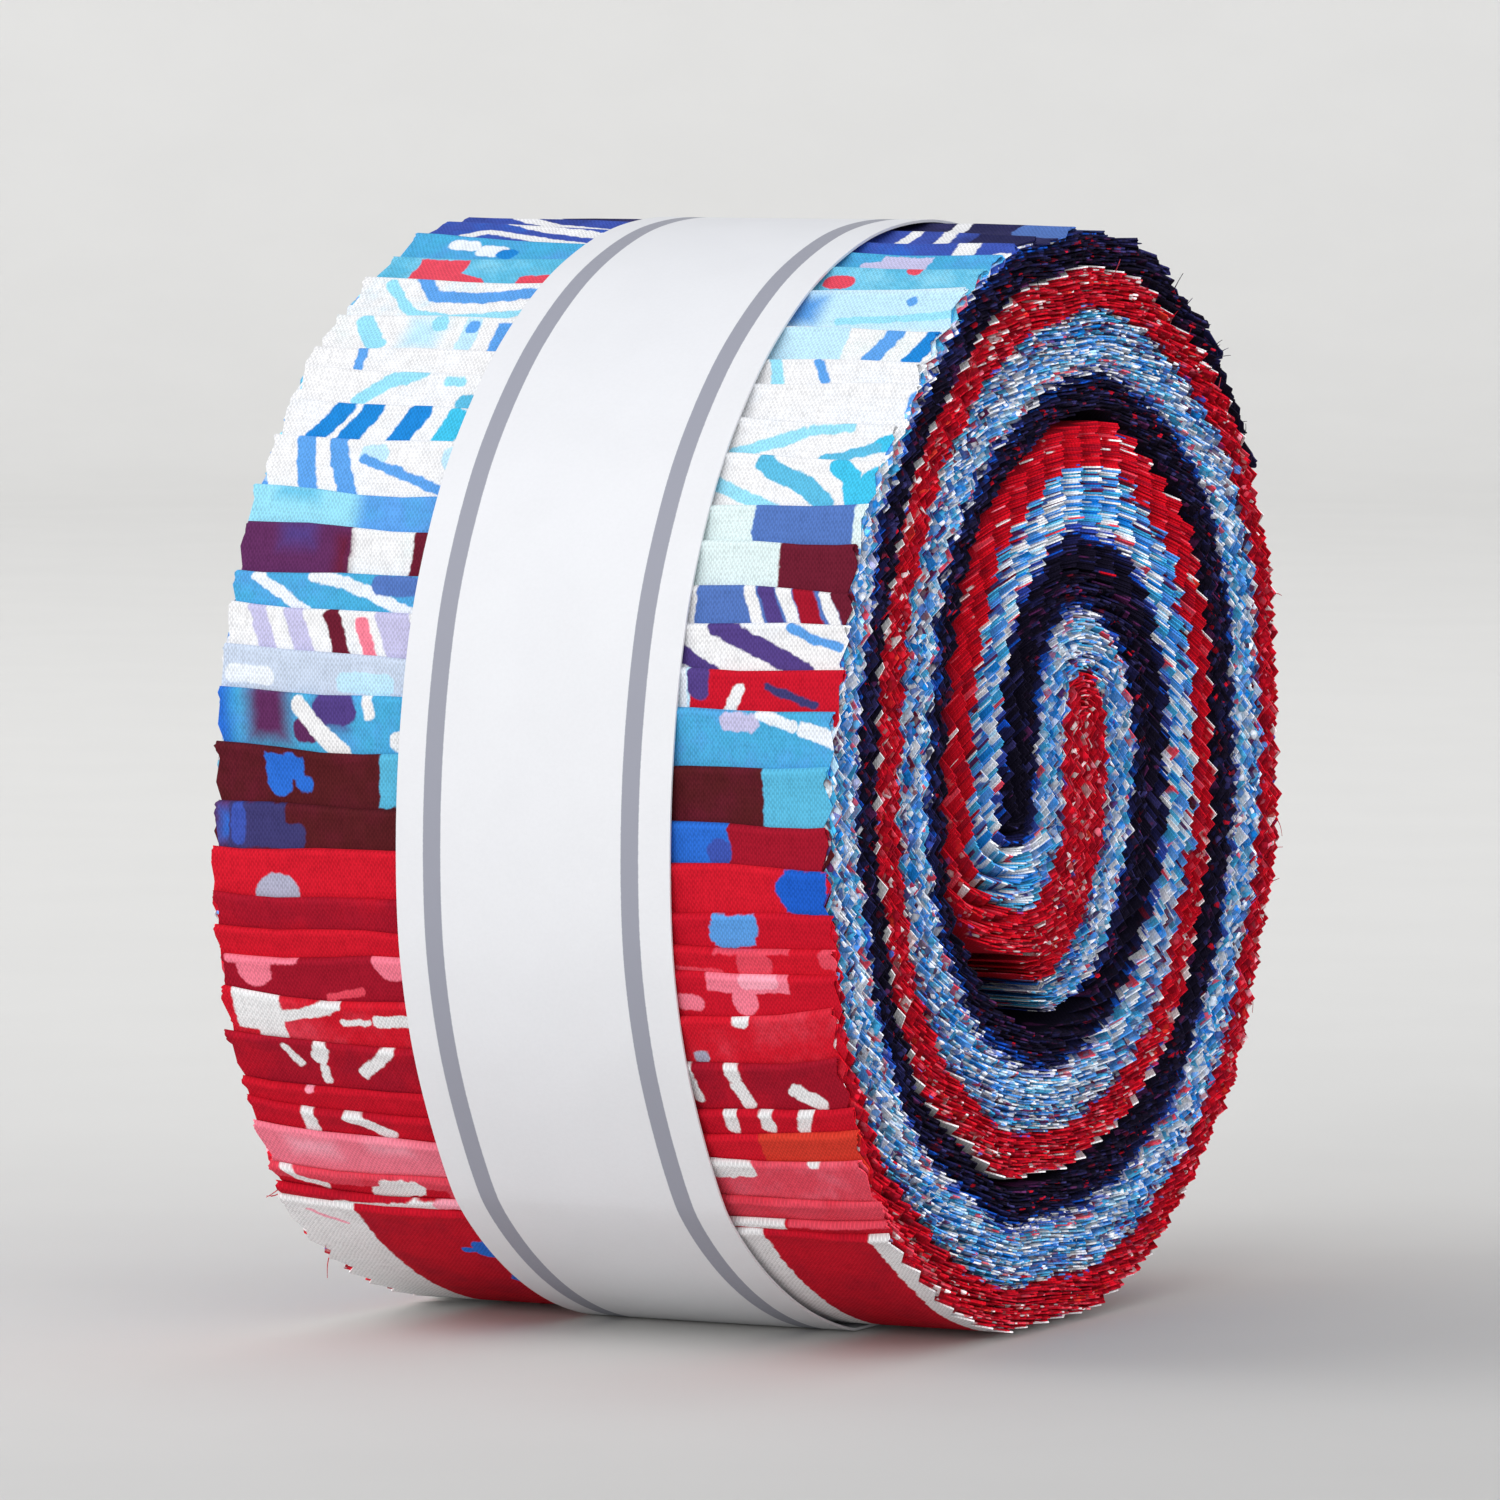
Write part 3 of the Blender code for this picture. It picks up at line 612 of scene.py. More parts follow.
def sheet_object(name, points, **details):
    """The mesh of a thin sheet, from its points by face, row and column."""
    return mesh_object(name, points.reshape(-1, 3), thin_sheet_faces(*points.shape[1:3]), **details)


def mesh_points(obj):
    """The points of an object's mesh, one in each row."""
    points = np.empty(len(obj.data.vertices) * 3, np.float32)
    obj.data.vertices.foreach_get("co", points)
    return points.reshape(-1, 3).astype(float)


# Nodes

class Nodes:
    """Adds nodes to a tree. An input is a value, or the socket that feeds it."""

    def __init__(self, tree):
        self.tree = tree

    def feed(self, value, socket):
        if isinstance(value, bpy.types.NodeSocket):
            self.tree.links.new(value, socket)
        else:
            socket.default_value = value

    def add(self, kind, inputs=(), **settings):
        """The outputs of a new node."""
        node = self.tree.nodes.new("ShaderNode" + kind)
        for name, value in settings.items():
            setattr(node, name, value)
        for key, value in dict(inputs).items():
            self.feed(value, node.inputs[key])
        return node.outputs

    def math(self, operation, *values):
        return self.add("Math", enumerate(values), operation=operation)[0]

    def times(self, first, *others):
        for other in others:
            first = self.math("MULTIPLY", first, other)
        return first

    def vector(self, operation, *values):
        found = self.add("VectorMath", enumerate(values), operation=operation)
        return found["Value" if operation in ("LENGTH", "DOT_PRODUCT") else "Vector"]

    def mix(self, factor, a, b, blend="MIX"):
        return self.add("Mix", {0: factor, 6: a, 7: b}, data_type="RGBA", blend_type=blend)[2]

    def shade(self, color, amount):
        return self.mix(1.0, color, amount, "MULTIPLY")

    def step(self, value, low, high, to_low=0.0, to_high=1.0):
        """A smooth step from one value to another."""
        return self.add("MapRange", {0: value, 1: low, 2: high, 3: to_low, 4: to_high},
                        interpolation_type="SMOOTHSTEP")[0]

    def noise(self, place, scale, detail=2.0, roughness=0.5, seed=None):
        """Noise in space, or a slice of noise in four dimensions for each seed."""
        inputs = {"Vector": place, "Scale": scale, "Detail": detail, "Roughness": roughness}
        if seed is None:
            return self.add("TexNoise", inputs)
        return self.add("TexNoise", {**inputs, "W": seed}, noise_dimensions="4D")

    def parts(self, vector):
        return self.add("SeparateXYZ", {0: vector})

    def group(self, tree, *values):
        return self.add("Group", enumerate(values), node_tree=tree)

    def object_place(self):
        """Object coordinates in millimetres."""
        return self.vector("MULTIPLY", self.add("TexCoord")["Object"], (1000, 1000, 1000))


class Surface(Nodes):
    """The nodes of a new material, round its shader."""

    def __init__(self, name):
        self.material = bpy.data.materials.new(name)
        self.material.use_nodes = True
        super().__init__(self.material.node_tree)

    def finish(self, color, roughness, specular=0.5, bump=None):
        """Feeds the shader. Bumps have a height, a strength and a distance in metres."""
        shader = self.tree.nodes["Principled BSDF"].inputs
        self.feed(color, shader["Base Color"])
        self.feed(roughness, shader["Roughness"])
        shader["Specular IOR Level"].default_value = specular
        if bump:
            self.feed(self.add("Bump", zip(("Height", "Strength", "Distance"), bump))[0], shader["Normal"])
        return self.material


def new_group(name, inputs, outputs):
    """A node group: the nodes that it is made of, its inputs and its outputs."""
    tree = bpy.data.node_groups.new(name, "ShaderNodeTree")
    for direction, sockets in (("INPUT", inputs), ("OUTPUT", outputs)):
        for label, kind in sockets.items():
            tree.interface.new_socket(label, in_out=direction, socket_type=f"NodeSocket{kind}")
    return Nodes(tree), tree.nodes.new("NodeGroupInput").outputs, tree.nodes.new("NodeGroupOutput").inputs


def cloth_place_group():
    """Where a point lies on the flat strip, in millimetres: across it, along it and 0. The second
    output is pushed about by noise, as dye is by a brush."""
    nodes, source, result = new_group(
        "Place on the strip", {"Seed": "Float"}, {"Place": "Vector", "Brushed": "Vector"})
    uv = nodes.parts(nodes.add("UVMap", uv_map="Cloth")[0])
    place = nodes.add("CombineXYZ", {0: nodes.times(uv[1], 1000.0), 1: nodes.times(uv[0], 1000.0)})[0]
    push = nodes.vector("SUBTRACT", nodes.noise(place, 0.9, 3.0, 0.6, source[0])["Color"], (0.5, 0.5, 0.5))
    push = nodes.vector("MULTIPLY", push, (0.9, 0.9, 0.0))
    nodes.feed(place, result[0])
    nodes.feed(nodes.vector("ADD", place, push), result[1])
    return nodes.tree


def dye_mark_group():
    """One mark of dye, as a share from 0 to 1: inside a rectangle that is turned, with rounded corners,
    the distance to its outline is the usual one for such a box, and the dye ends smoothly there."""
    nodes, source, result = new_group(
        "Dye mark", {"Place": "Vector", "Centre": "Vector", "Half size": "Vector", "Turn": "Float",
                     "Round": "Float", "Soft": "Float"}, {"Mark": "Float"})
    place, centre, half, turn, rounding, soft = source[:6]
    turned = nodes.add("VectorRotate", {"Vector": nodes.vector("SUBTRACT", place, centre), "Angle": turn},
                       rotation_type="Z_AXIS")[0]
    beyond = nodes.vector("SUBTRACT", nodes.vector("ABSOLUTE", turned), half)
    outside = nodes.vector("LENGTH", nodes.vector("MAXIMUM", beyond, (0, 0, 0)))
    parts = nodes.parts(beyond)
    inside = nodes.math("MINIMUM", nodes.math("MAXIMUM", parts[0], parts[1]), 0.0)
    distance = nodes.math("SUBTRACT", nodes.math("ADD", outside, inside), rounding)
    nodes.feed(nodes.step(distance, nodes.times(soft, -1.0), soft, 1.0, 0.0), result[0])
    return nodes.tree


def batik_ground_group():
    """Two dyes that mottle each other in broad clouds, with a fine unevenness in how dark they are."""
    nodes, source, result = new_group(
        "Batik ground", {"Place": "Vector", "Seed": "Float", "Dye": "Color", "Mottle": "Color"},
        {"Color": "Color"})
    place, seed, dye, mottle = source[:4]
    broad = nodes.noise(place, 0.16, 4.0, 0.65, seed)[0]
    fine = nodes.noise(place, 1.1, seed=seed)[0]
    color = nodes.mix(nodes.step(broad, 0.42, 0.75, 0.0, 0.8), dye, mottle)
    nodes.feed(nodes.shade(color, nodes.step(fine, 0.25, 0.75, 0.95, 1.04)), result[0])
    return nodes.tree


def cotton_weave_group():
    """Plain weave: a warp and a weft thread cross about every half millimetre and take turns on top.
    Its height is the product of two sine waves, plus a rib along the warp and slubs of noise."""
    nodes, source, result = new_group("Cotton weave", {"Place": "Vector"}, {"Height": "Float"})
    place = source[0]
    bend = nodes.vector("SUBTRACT", nodes.noise(place, 0.5, 1.0)["Color"], (0.5, 0.5, 0.5))
    bent = nodes.parts(nodes.vector("ADD", place, nodes.vector("MULTIPLY", bend, (0.35, 0.35, 0.0))))
    warp, weft = [nodes.math("SINE", nodes.times(part, 2 * math.pi / pitch))
                  for part, pitch in ((bent[0], 0.42), (bent[1], 0.56))]
    cross = nodes.times(warp, weft, 0.5)
    rib = nodes.times(nodes.math("ABSOLUTE", warp), 0.5)
    slubs = nodes.math("ADD", *[nodes.noise(nodes.vector("MULTIPLY", place, stretch), 1.0)[0]
                                for stretch in ((0.5, 4.0, 0.0), (5.0, 0.4, 0.0))])
    nodes.feed(nodes.math("ADD", nodes.math("ADD", cross, rib), slubs), result[0])
    return nodes.tree


def mark_boxes(kind, numbers):
    """A mark as turned boxes with round corners: centre, half size, turn and rounding."""
    if kind in ("box", "wash"):
        left, right, start, end = numbers
        return [(((left + right) / 2, (start + end) / 2), ((right - left) / 2, (end - start) / 2), 0.0, 0.0)]
    if kind == "spot":
        x, u, across = numbers[:3]
        along = numbers[-1]
        rounding = 0.92 * min(across, along)
        return [((x, u), (across - rounding, along - rounding), 0.0, rounding)]
    width, *path = numbers
    boxes = []
    for x0, u0, x1, u1 in zip(path[::2], path[1::2], path[2::2], path[3::2]):
        half = (math.hypot(x1 - x0, u1 - u0) / 2, width * 0.1)
        boxes.append((((x0 + x1) / 2, (u0 + u1) / 2), half, -math.atan2(u1 - u0, x1 - x0), width * 0.4))
    return boxes


def palette_ramp(nodes, value, shares, dyes, even=False):
    """Steps through several dyes by a value, each over its share of the cloth. The value is a noise,
    or one whose levels are evenly spread."""
    names, weights = shares[::2], [float(weight) for weight in shares[1::2]]
    total = sum(weights)
    marks, passed = [], 0.0
    for name, weight in zip(names, weights):
        if even:
            marks.append((passed / total, name))
        else:
            for part in (0.06, 0.94):  # each dye fades into the next over a little of their shares
                level = 0.5 + 0.125 * normal_level((passed + part * weight) / total)
                marks.append((min(max(level, 0.0), 1.0), name))
        passed += weight
    output = nodes.add("ValToRGB", {0: value})[0]
    ramp = output.node.color_ramp
    ramp.interpolation = "CONSTANT" if even else "LINEAR"
    while len(ramp.elements) < len(marks):
        ramp.elements.new(0.5)
    for element, (position, name) in zip(ramp.elements, marks):
        element.position = position
        element.color = (*getattr(dyes, name), 1)
    return output


def normal_level(share):
    """How many standard deviations have that share below them, by a simple fit."""
    share = min(max(share, 0.001), 0.999)
    return 4.91 * (share ** 0.14 - (1 - share) ** 0.14)


def strip_material(index, groups, dyes):
    """Dyed cotton: its ground and marks near the fold, its dyes in patches beyond, and the weave, with painted shade
    in the weave's valleys and in the notches of the cut edges, and painted light at the teeth's tips.
    """
    ground, mottle, shares, marks = PRINTS[index]
    seed = index * 3.7 + 1.3
    nodes = Surface(f"Batik cotton {index + 1:02d}")
    place, brushed = nodes.group(groups["place"], seed)[:2]
    color = nodes.group(groups["ground"], place, seed, (*getattr(dyes, ground), 1), (*getattr(dyes, mottle), 1))[0]
    for kind, dye, numbers in marks:
        for centre, half, turn, rounding in mark_boxes(kind, numbers):
            mark = nodes.group(groups["mark"], brushed, (*centre, 0), (*half, 1), turn, rounding,
                               1.3 if kind == "wash" else 0.12)[0]
            color = nodes.mix(mark, color, (*getattr(dyes, dye), 1))

    stretched = nodes.vector("MULTIPLY", brushed, (0.5, 1.0, 0.0))
    far = palette_ramp(nodes, nodes.noise(stretched, 0.13, 2.5, 0.6, seed * 2)[0], shares, dyes)
    along = nodes.parts(brushed)[1]
    reach = 400.0 if index == 0 else 9.0  # the lowest strip shows more than its fold
    away = nodes.math("MAXIMUM", nodes.step(along, reach, reach + 2.0), nodes.step(along, -0.6, -2.0))
    color = nodes.mix(away, color, far)
    weave = nodes.group(groups["weave"], place)[0]
    # The weave's thread crowns are lighter where undyed fibre shows, and the valleys between the threads get painted
    # shade
    color = nodes.shade(color, nodes.step(weave, 0.5, 1.9, 0.8, 1.24))

    # A cut edge gets painted shade down in the notches of its teeth and painted light at their tips. Where it is
    # loose it breaks up into the ends of its yarns, each in one of the strip's dyes, with painted shade round each
    # yarn end and the same painted shade and light from notch to tip
    cut, loose = [nodes.add("Attribute", attribute_name=name)["Fac"] for name in ("Cut", "Loose")]
    across = nodes.math("ABSOLUTE", nodes.parts(place)[0])
    # Painted shade and light on the cut edge: darkened in the notches, lightened at the teeth's tips
    deep = nodes.add("Gamma", {0: color, 1: 1.12})[0]
    color = nodes.mix(cut, color, nodes.shade(deep, nodes.step(across, 29.5, 31.7, 0.5, 1.9)))
    yarn = nodes.add("TexVoronoi", {"Vector": nodes.object_place(), "Scale": 1.75})
    picks = nodes.add("SeparateColor", {0: yarn["Color"]})
    # Each yarn end has its own random tone, times painted shade towards its edges and painted shade and light from
    # notch to tip
    light = nodes.times(nodes.step(picks[1], 0.0, 1.0, 0.65, 1.4), nodes.step(yarn["Distance"], 0.3, 0.8, 1.1, 0.6),
                        nodes.step(across, 29.8, 31.6, 0.8, 1.7))
    ends = nodes.shade(palette_ramp(nodes, picks[0], shares, dyes, even=True), light)
    frayed = nodes.times(loose, nodes.math("MAXIMUM", cut, nodes.step(across, 30.0, 30.9)), away,
                         nodes.step(picks[2], 0.45, 0.5, 0.15, 0.85))
    return nodes.finish(nodes.mix(frayed, color, ends), nodes.step(weave, 0.6, 1.8, 0.95, 0.8), 0.06,
                        (weave, 0.35, 0.00006))


def paper_material(sizes, middle):
    """Smooth white paper with a faint fibre and two printed lines."""
    nodes = Surface("Printed paper")
    place = nodes.object_place()
    x = nodes.parts(place)[0]
    fibre = nodes.noise(place, 3.0, 5.0, 0.7)[0]
    cloud = nodes.noise(place, 0.12)[0]
    color = nodes.shade((*sizes.paper, 1), nodes.step(fibre, 0.3, 0.7, 0.975, 1.0))
    color = nodes.shade(color, nodes.step(cloud, 0.3, 0.7, 0.98, 1.0))
    half = sizes.band_width * 500
    grain = nodes.times(nodes.math("SUBTRACT", fibre, 0.5), 0.1)
    for line in (middle * 1000 - half + 3.7, middle * 1000 + half - 4.1):
        away = nodes.math("ABSOLUTE", nodes.math("SUBTRACT", nodes.math("ADD", x, grain), line))
        color = nodes.mix(nodes.step(away, 0.86, 0.94, 0.92, 0.0), color, (*sizes.paper_line, 1))
    return nodes.finish(color, nodes.step(fibre, 0.3, 0.7, 0.48, 0.6), 0.35, (fibre, 0.12, 0.00004))


def thread_material():
    """Cotton thread in the dye of the strip that it comes from, darker and lighter along its twist."""
    nodes = Surface("Loose thread")
    twist = nodes.noise(nodes.object_place(), 4.0)[0]
    dye = nodes.add("Attribute", attribute_name="Dye")["Color"]
    return nodes.finish(nodes.shade(dye, nodes.step(twist, 0.3, 0.7, 0.7, 1.25)), 0.9, 0.2)


def glue_material():
    """Dried paper glue, slightly yellow and uneven."""
    nodes = Surface("Dried glue")
    cloud = nodes.noise(nodes.object_place(), 0.6, 4.0)[0]
    color = nodes.mix(nodes.step(cloud, 0.3, 0.7), (0.80, 0.75, 0.60, 1), (0.88, 0.85, 0.74, 1))
    return nodes.finish(color, nodes.step(cloud, 0.3, 0.7, 0.3, 0.5), bump=(cloud, 0.3, 0.00005))


def stage_material(color):
    """Matt painted board with the faintest mottling, and painted shade that makes it a little darker towards the
    right.
    """
    nodes = Surface("Stage board")
    place = nodes.object_place()
    shade = nodes.step(nodes.noise(place, 0.03, 4.0)[0], 0.3, 0.7, 0.985, 1.0)
    # Painted shade: the board is darkened a little towards the right
    to_right = nodes.vector("DOT_PRODUCT", place, (0.85, -0.2, 0.0))
    shade = nodes.times(shade, nodes.step(to_right, -120.0, 160.0, 1.0, 0.8))
    return nodes.finish(nodes.shade((*color, 1), shade), 0.9, 0.1)


# The paper band

def band_shape():
    """The paper's course round the cloth, from the support of its outline: for each direction, how far
    the cloth reaches that way, smoothed over a few degrees, less at the foot. A smoothed circle comes
    out smaller, so it is made that much larger again. Returns the reaches and their slopes."""
    outline = [mesh_points(piece)[:, 1:] for name, piece in frame["nodes"].items() if name.startswith("strip_")]
    outline.append(np.stack(Winding().at(np.linspace(10, 12.75, 400), np.zeros(400)), -1))
    angle = np.arange(BAND_DIRECTIONS) * 2 * math.pi / BAND_DIRECTIONS
    normal = np.stack([np.cos(angle), np.sin(angle)], -1)
    reach = (np.concatenate(outline) @ normal.T).max(0)
    smoothed = []
    for degrees in (2.2, 4.5):
        width = degrees * BAND_DIRECTIONS / 360
        spread = np.arange(-int(4 * width), int(4 * width) + 1)
        kernel = np.exp(-0.5 * (spread / width) ** 2)
        padded = np.concatenate([reach[-len(spread):], reach, reach[:len(spread)]])
        blurred = np.convolve(padded, kernel / kernel.sum(), "same")[len(spread):-len(spread)]
        smoothed.append(blurred / math.exp(-0.5 * math.radians(degrees) ** 2))
    foot = bell(angle - 1.5 * math.pi, 0.42)
    reach = foot * smoothed[0] + (1 - foot) * smoothed[1]
    return reach, (np.roll(reach, -1) - np.roll(reach, 1)) / (angle[1] * 2)


def band_faces(turn, columns, rises, lowest, wave_height=0.0):
    """The two faces of a sheet that lies round the cloth. A point is at the reach along its direction
    and the slope across it, plus a rise outwards and slow waves, and no lower than a given height."""
    reach, slope = band_shape()
    at = (turn % (2 * math.pi)) / (2 * math.pi) * BAND_DIRECTIONS
    reach, slope = [np.interp(at, np.arange(BAND_DIRECTIONS + 1), np.append(v, v[0])) for v in (reach, slope)]
    wave = wave_height * np.sin(turn * 7 + 1)[:, None] * np.cos(columns * 90)[None]
    faces = []
    for rise, bottom in zip(rises, lowest):
        y = (reach + rise) * np.cos(turn) - slope * np.sin(turn)
        z = (reach + rise) * np.sin(turn) + slope * np.cos(turn)
        y = y[:, None] + wave * np.cos(turn)[:, None]
        z = np.maximum(z[:, None] + wave * np.sin(turn)[:, None], bottom)
        faces.append(np.stack([np.broadcast_to(columns, y.shape), y, z], -1))
    return np.stack(faces)[:, ::-1]


# Operators

class STRIPROLL_OT_strips(bpy.types.Operator):
    """Build the forty folded strips"""
    bl_idname = "strip_roll.strips"
    bl_label = "Folded strips"

    def execute(self, context):
        settings = context.scene.strip_roll
        winding = Winding()
        random = np.random.default_rng(11)
        groups = {"place": cloth_place_group(), "mark": dye_mark_group(), "ground": batik_ground_group(),
                  "weave": cotton_weave_group()}
        for index in range(STRIP_COUNT):
            points, cloth, loose = strip_surface(winding, index, settings.sizes, random)
            rows, columns = points.shape[1:3]
            flat_faces = 2 * (rows - 1) * (columns - 1)
            strip = sheet_object(f"fabric_strip_{index + 1:02d}", points, cloth=cloth.reshape(-1, 2),
                                 rim=(flat_faces, flat_faces + 2 * (rows - 1)))
            layer = strip.data.attributes.new("Loose", "FLOAT", "POINT")
            layer.data.foreach_set("value", np.ascontiguousarray(loose, np.float32).ravel())
            strip.data.materials.append(strip_material(index, groups, settings.dyes))
            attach(strip, "roll")
            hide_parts(f"strip_{index + 1:02d}")
        return {"FINISHED"}


class STRIPROLL_OT_band(bpy.types.Operator):
    """Build the paper band and its printed lines"""
    bl_idname = "strip_roll.band"
    bl_label = "Paper band"

    def execute(self, context):
        sizes = context.scene.strip_roll.sizes
        thickness = sizes.band_thickness
        low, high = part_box("belly_band")
        middle = (low.x + high.x) / 2
        seam, overlap, ramp = [math.radians(angle) for angle in (BAND_SEAM, BAND_OVERLAP, LAP_RAMP)]
        turn = np.linspace(seam, seam + 2 * math.pi + overlap, 760)
        lap = np.clip((turn - seam - 2 * math.pi + ramp) / ramp, 0, 1)
        lap = (thickness + GLUE_THICKNESS) * lap ** 2 * (3 - 2 * lap)
        columns = np.linspace(-0.5, 0.5, 13) * sizes.band_width + middle
        points = band_faces(turn, columns, (BAND_RISE + lap + thickness, BAND_RISE + lap), (0.0, thickness), 0.00006)
        band = sheet_object("paper_band", points, smooth_angle=35)
        band.data.materials.append(paper_material(sizes, middle))
        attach(band, "band")
        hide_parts("belly_band")
        return {"FINISHED"}


class STRIPROLL_OT_glue(bpy.types.Operator):
    """Build the glue between the band's two ends"""
    bl_idname = "strip_roll.glue"
    bl_label = "Band glue"

    def execute(self, context):
        low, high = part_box("band_glue")
        turn = np.linspace(math.radians(GLUE_START), math.radians(GLUE_END), 24)
        columns = (low.x + high.x) / 2 + (high.x - low.x) / 2 * np.linspace(-1, 1, 9)
        paper = BAND_RISE + context.scene.strip_roll.sizes.band_thickness
        glue = sheet_object("glue_strip", band_faces(
            turn, columns, [paper + GLUE_THICKNESS * share for share in (0.82, 0.18)], (0, 0)))
        glue.data.materials.append(glue_material())
        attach(glue, "band")
        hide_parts("band_glue")
        return {"FINISHED"}


def thread_roots(index, number, random):
    """Points at the tips of a strip's teeth where the roll's outside shows them. Those of the topmost
    strips are at the top of the roll."""
    points = mesh_points(bpy.data.objects[f"fabric_strip_{index + 1:02d}"])
    from_middle = np.hypot(points[:, 1], points[:, 2] - ROLL_MIDDLE)
    tips = points[(np.abs(points[:, 0]) > 0.0309) & (from_middle > 0.040) & (points[:, 2] > 0.004)]
    if index > 30:
        tips = tips[(tips[:, 1] > -0.01) & (tips[:, 2] > 0.07)]
    return tips[random.integers(0, len(tips), number)]


def thread_rings(roots, random):
    """Tapered tubes, as rings of points. Each runs from its root outwards along a line that bends by
    the square of the distance, and the points of a ring lie round it."""
    total = len(roots)
    away = np.stack([np.sign(roots[:, 0]) * random.uniform(0.1, 1.0, total), roots[:, 1] / 0.05,
                     (roots[:, 2] - ROLL_MIDDLE) / 0.05], -1)
    away /= np.linalg.norm(away, axis=1, keepdims=True)
    bend = random.normal(0, 1, (total, 3)) * 0.8
    length = random.gamma(2.2, 0.00032, total)[:, None, None]
    share = np.linspace(0, 1, THREAD_RINGS)[None, :, None]
    path = roots[:, None] - away[:, None] * 0.0003 + length * (share * away[:, None] + share ** 2 * bend[:, None])
    path[..., 2] = np.maximum(path[..., 2], 0.0004)
    along = np.gradient(path, axis=1)
    along /= np.linalg.norm(along, axis=2, keepdims=True) + 1e-12
    side = np.cross(along, np.array([0.31, 0.52, 0.79]))
    side /= np.linalg.norm(side, axis=2, keepdims=True)
    other = np.cross(along, side)
    radius = 0.00006 * (1 - 0.55 * share)
    corners = [math.radians(a) for a in (0, 90, 180, 270)]
    return np.stack([path + radius * (math.cos(a) * side + math.sin(a) * other) for a in corners], 2)


class STRIPROLL_OT_threads(bpy.types.Operator):
    """Add the loose threads that stand out of the pinked edges"""
    bl_idname = "strip_roll.threads"
    bl_label = "Loose threads"

    def execute(self, context):
        settings = context.scene.strip_roll
        random = np.random.default_rng(5)
        roots, dyes = [], []
        for index, share in THREAD_SHARES.items():
            roots.append(thread_roots(index, max(1, round(share * settings.sizes.thread_count)), random))
            dyes += [[*getattr(settings.dyes, PRINTS[index][0]), 1]] * len(roots[-1])
        rings = thread_rings(np.concatenate(roots), random)
        index = np.arange(rings[..., 0].size).reshape(rings.shape[:3])
        after = np.roll(index, -1, axis=2)
        quads = np.stack([index[:, :-1], after[:, :-1], after[:, 1:], index[:, 1:]], -1).reshape(-1, 4)
        ends = np.concatenate([index[:, 0, ::-1], index[:, -1]])
        threads = mesh_object("loose_threads", rings.reshape(-1, 3), np.concatenate([quads, ends]))
        layer = threads.data.attributes.new("Dye", "FLOAT_COLOR", "POINT")
        layer.data.foreach_set("color", np.repeat(dyes, index[0].size, axis=0).astype(np.float32).ravel())
        threads.data.materials.append(thread_material())
        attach(threads, "roll")
        return {"FINISHED"}


def floor_points():
    """A floor that turns up into a backdrop: a line, a quarter circle and a line, carried sideways."""
    turn = np.linspace(0, math.pi / 2, 25)
    back, lift = 1.6, 0.6
    profile = np.concatenate([
        np.stack([np.linspace(-2.5, back, 12)[:-1], np.zeros(11)], -1),
        np.stack([back + lift * np.sin(turn), lift - lift * np.cos(turn)], -1),
        np.stack([np.full(8, back + lift), np.linspace(lift, 3.2, 9)[1:]], -1)])
    along = np.linspace(-3.5, 3.5, 9)
    away = np.array([-math.sin(math.radians(26.6)), math.cos(math.radians(26.6))])
    side = np.array([away[1], -away[0]])
    points = np.empty((len(profile), len(along), 3))
    points[..., :2] = profile[:, None, :1] * away + along[None, :, None] * side
    points[..., 2] = profile[:, None, 1] - 0.0001
    return points


def place_aimed(name, data, place, aim):
    """Puts a lamp or a camera in its place, looking along a direction with its top upwards."""
    x, y, z = aim
    placed = bpy.data.objects.new(name, data)
    placed.location = place
    placed.rotation_euler = (math.atan2(math.hypot(x, y), -z), 0.0, math.atan2(-x, y))
    bpy.context.scene.collection.objects.link(placed)
    return placed


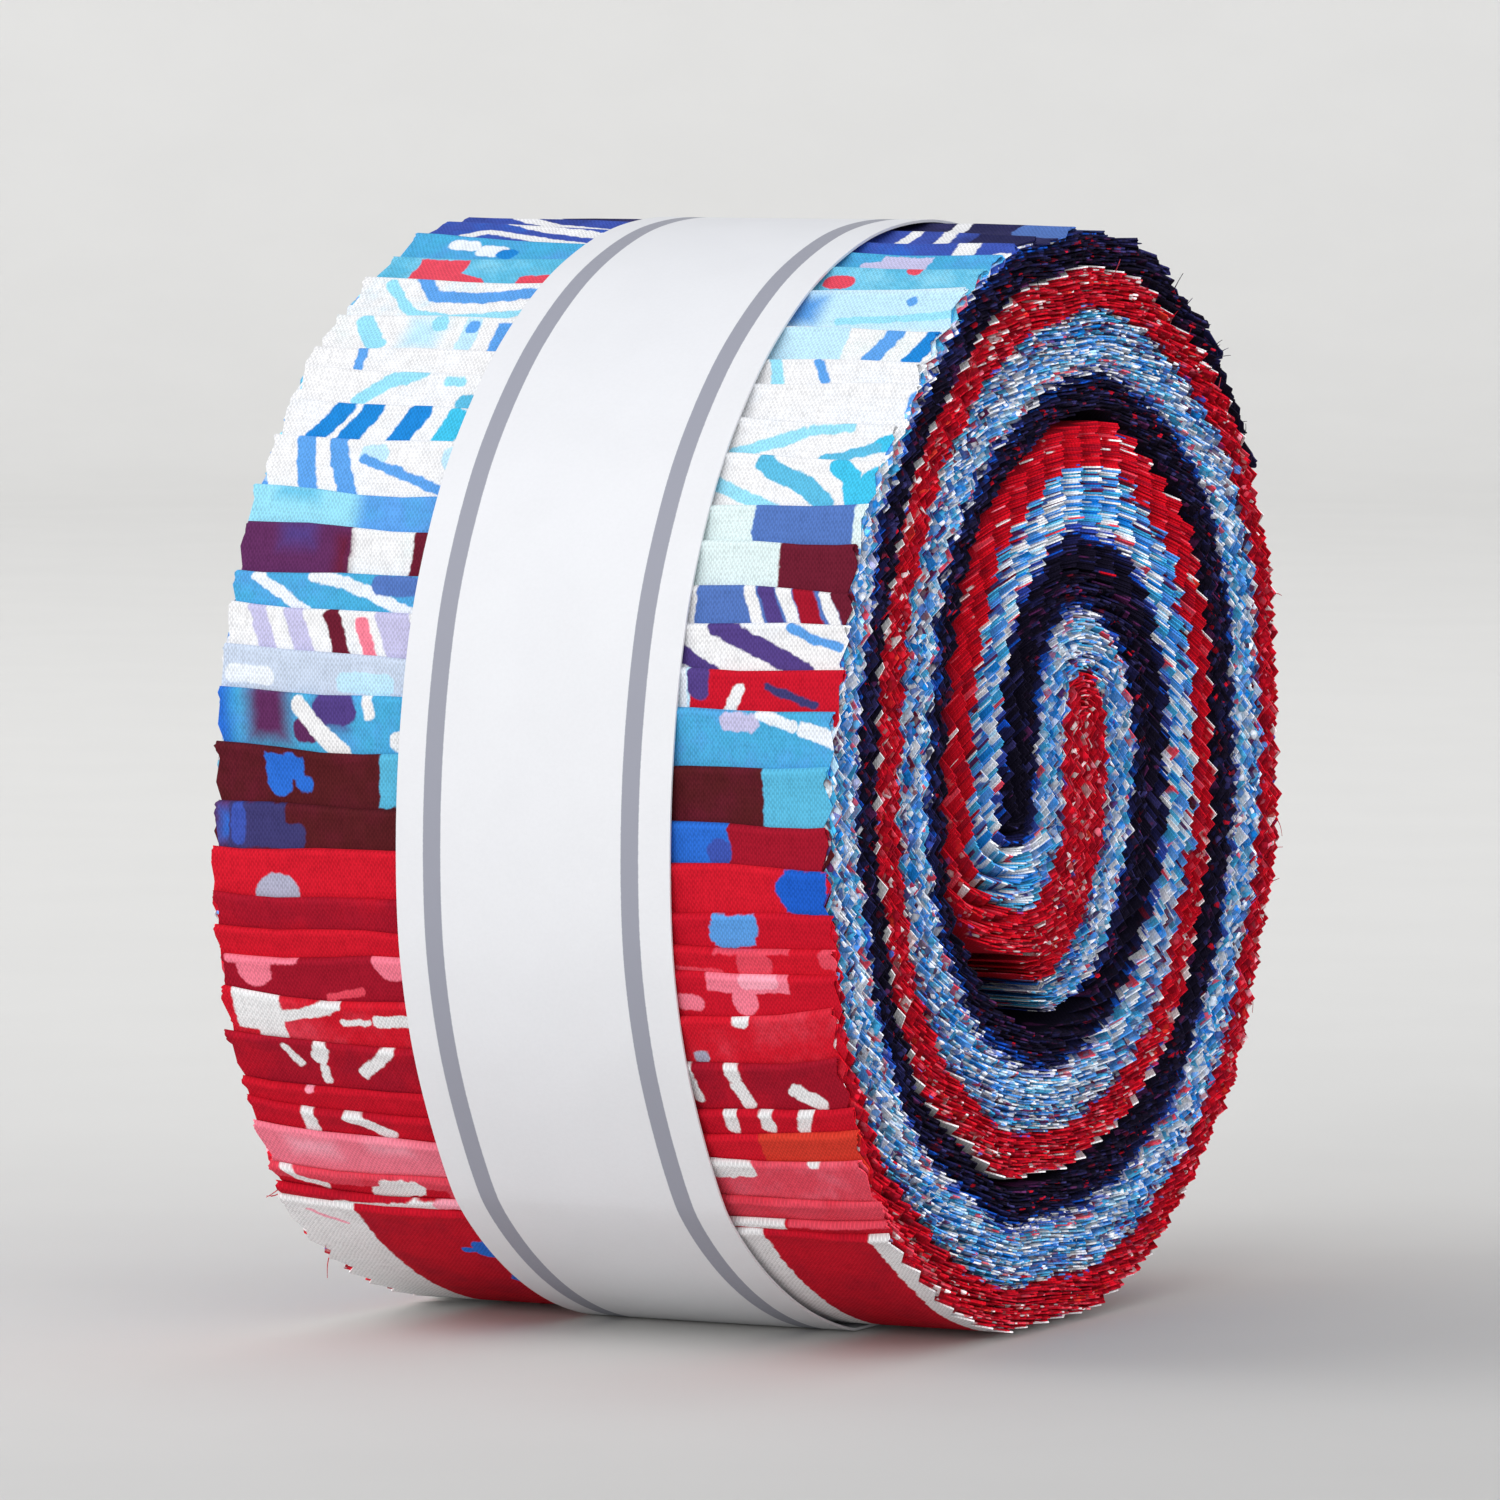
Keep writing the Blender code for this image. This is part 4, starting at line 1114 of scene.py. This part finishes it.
class STRIPROLL_OT_stage(bpy.types.Operator):
    """Set the floor and backdrop, the lights and the camera"""
    bl_idname = "strip_roll.stage"
    bl_label = "Stage"

    def execute(self, context):
        scene = context.scene
        points = floor_points()
        index = np.arange(points[..., 0].size).reshape(points.shape[:2])
        quads = np.stack([index[:-1, :-1], index[:-1, 1:], index[1:, 1:], index[1:, :-1]], -1).reshape(-1, 4)
        floor = mesh_object("stage_floor", points.reshape(-1, 3), quads, smooth_angle=80)
        floor.data.materials.append(stage_material(scene.strip_roll.sizes.floor))

        world = bpy.data.worlds.new("Soft room")
        world.use_nodes = True
        background = world.node_tree.nodes["Background"].inputs
        background[0].default_value = (0.93, 0.95, 1.0, 1)
        background[1].default_value = 0.63
        scene.world = world
        for name, place, aim, size, power, color in LAMPS:
            light = bpy.data.lights.new(name, "AREA")
            light.shape = "SQUARE"
            light.size = size
            light.energy = power
            light.color = color
            place_aimed(name, light, place, np.array(aim) - np.array(place))

        azimuth, elevation, distance = CAMERA_ORBIT
        toward = np.array([math.sin(azimuth) * math.cos(elevation), -math.cos(azimuth) * math.cos(elevation),
                           math.sin(elevation)])
        data = bpy.data.cameras.new("front_camera")
        data.sensor_width = 36
        data.lens = 253.26
        data.shift_x = -0.0107
        data.shift_y = 0.0085
        data.clip_start, data.clip_end = 0.05, 20
        data.dof.use_dof = False
        scene.camera = place_aimed("front_camera", data, np.array([0, 0, 0.052]) + toward * distance, -toward)
        scene.view_settings.view_transform = "Standard"
        scene.view_settings.look = "None"
        return {"FINISHED"}


class STRIPROLL_PT_panel(bpy.types.Panel):
    """Lists the pieces of the roll"""
    bl_idname = "STRIPROLL_PT_panel"
    bl_label = "Strip Roll"
    bl_space_type = "VIEW_3D"
    bl_region_type = "UI"
    bl_category = "Strip Roll"

    def draw(self, context):
        settings = context.scene.strip_roll
        column = self.layout.column()
        for operator in OPERATORS:
            column.operator(operator.bl_idname)
        for name in RollSizes.__annotations__:
            column.prop(settings.sizes, name)
        for name in DYES:
            column.prop(settings.dyes, name)


OPERATORS = (STRIPROLL_OT_strips, STRIPROLL_OT_band, STRIPROLL_OT_glue, STRIPROLL_OT_threads, STRIPROLL_OT_stage)
CLASSES = (RollDyes, RollSizes, RollSettings, *OPERATORS, STRIPROLL_PT_panel)


def register():
    for cls in CLASSES:
        bpy.utils.register_class(cls)
    bpy.types.Scene.strip_roll = PointerProperty(type=RollSettings)


def unregister():
    del bpy.types.Scene.strip_roll
    for cls in reversed(CLASSES):
        bpy.utils.unregister_class(cls)


def main():
    register()
    bpy.ops.strip_roll.strips()
    bpy.ops.strip_roll.band()
    bpy.ops.strip_roll.glue()
    bpy.ops.strip_roll.threads()
    bpy.ops.strip_roll.stage()
    bpy.context.view_layer.update()


if __name__ == "__main__":
    main()
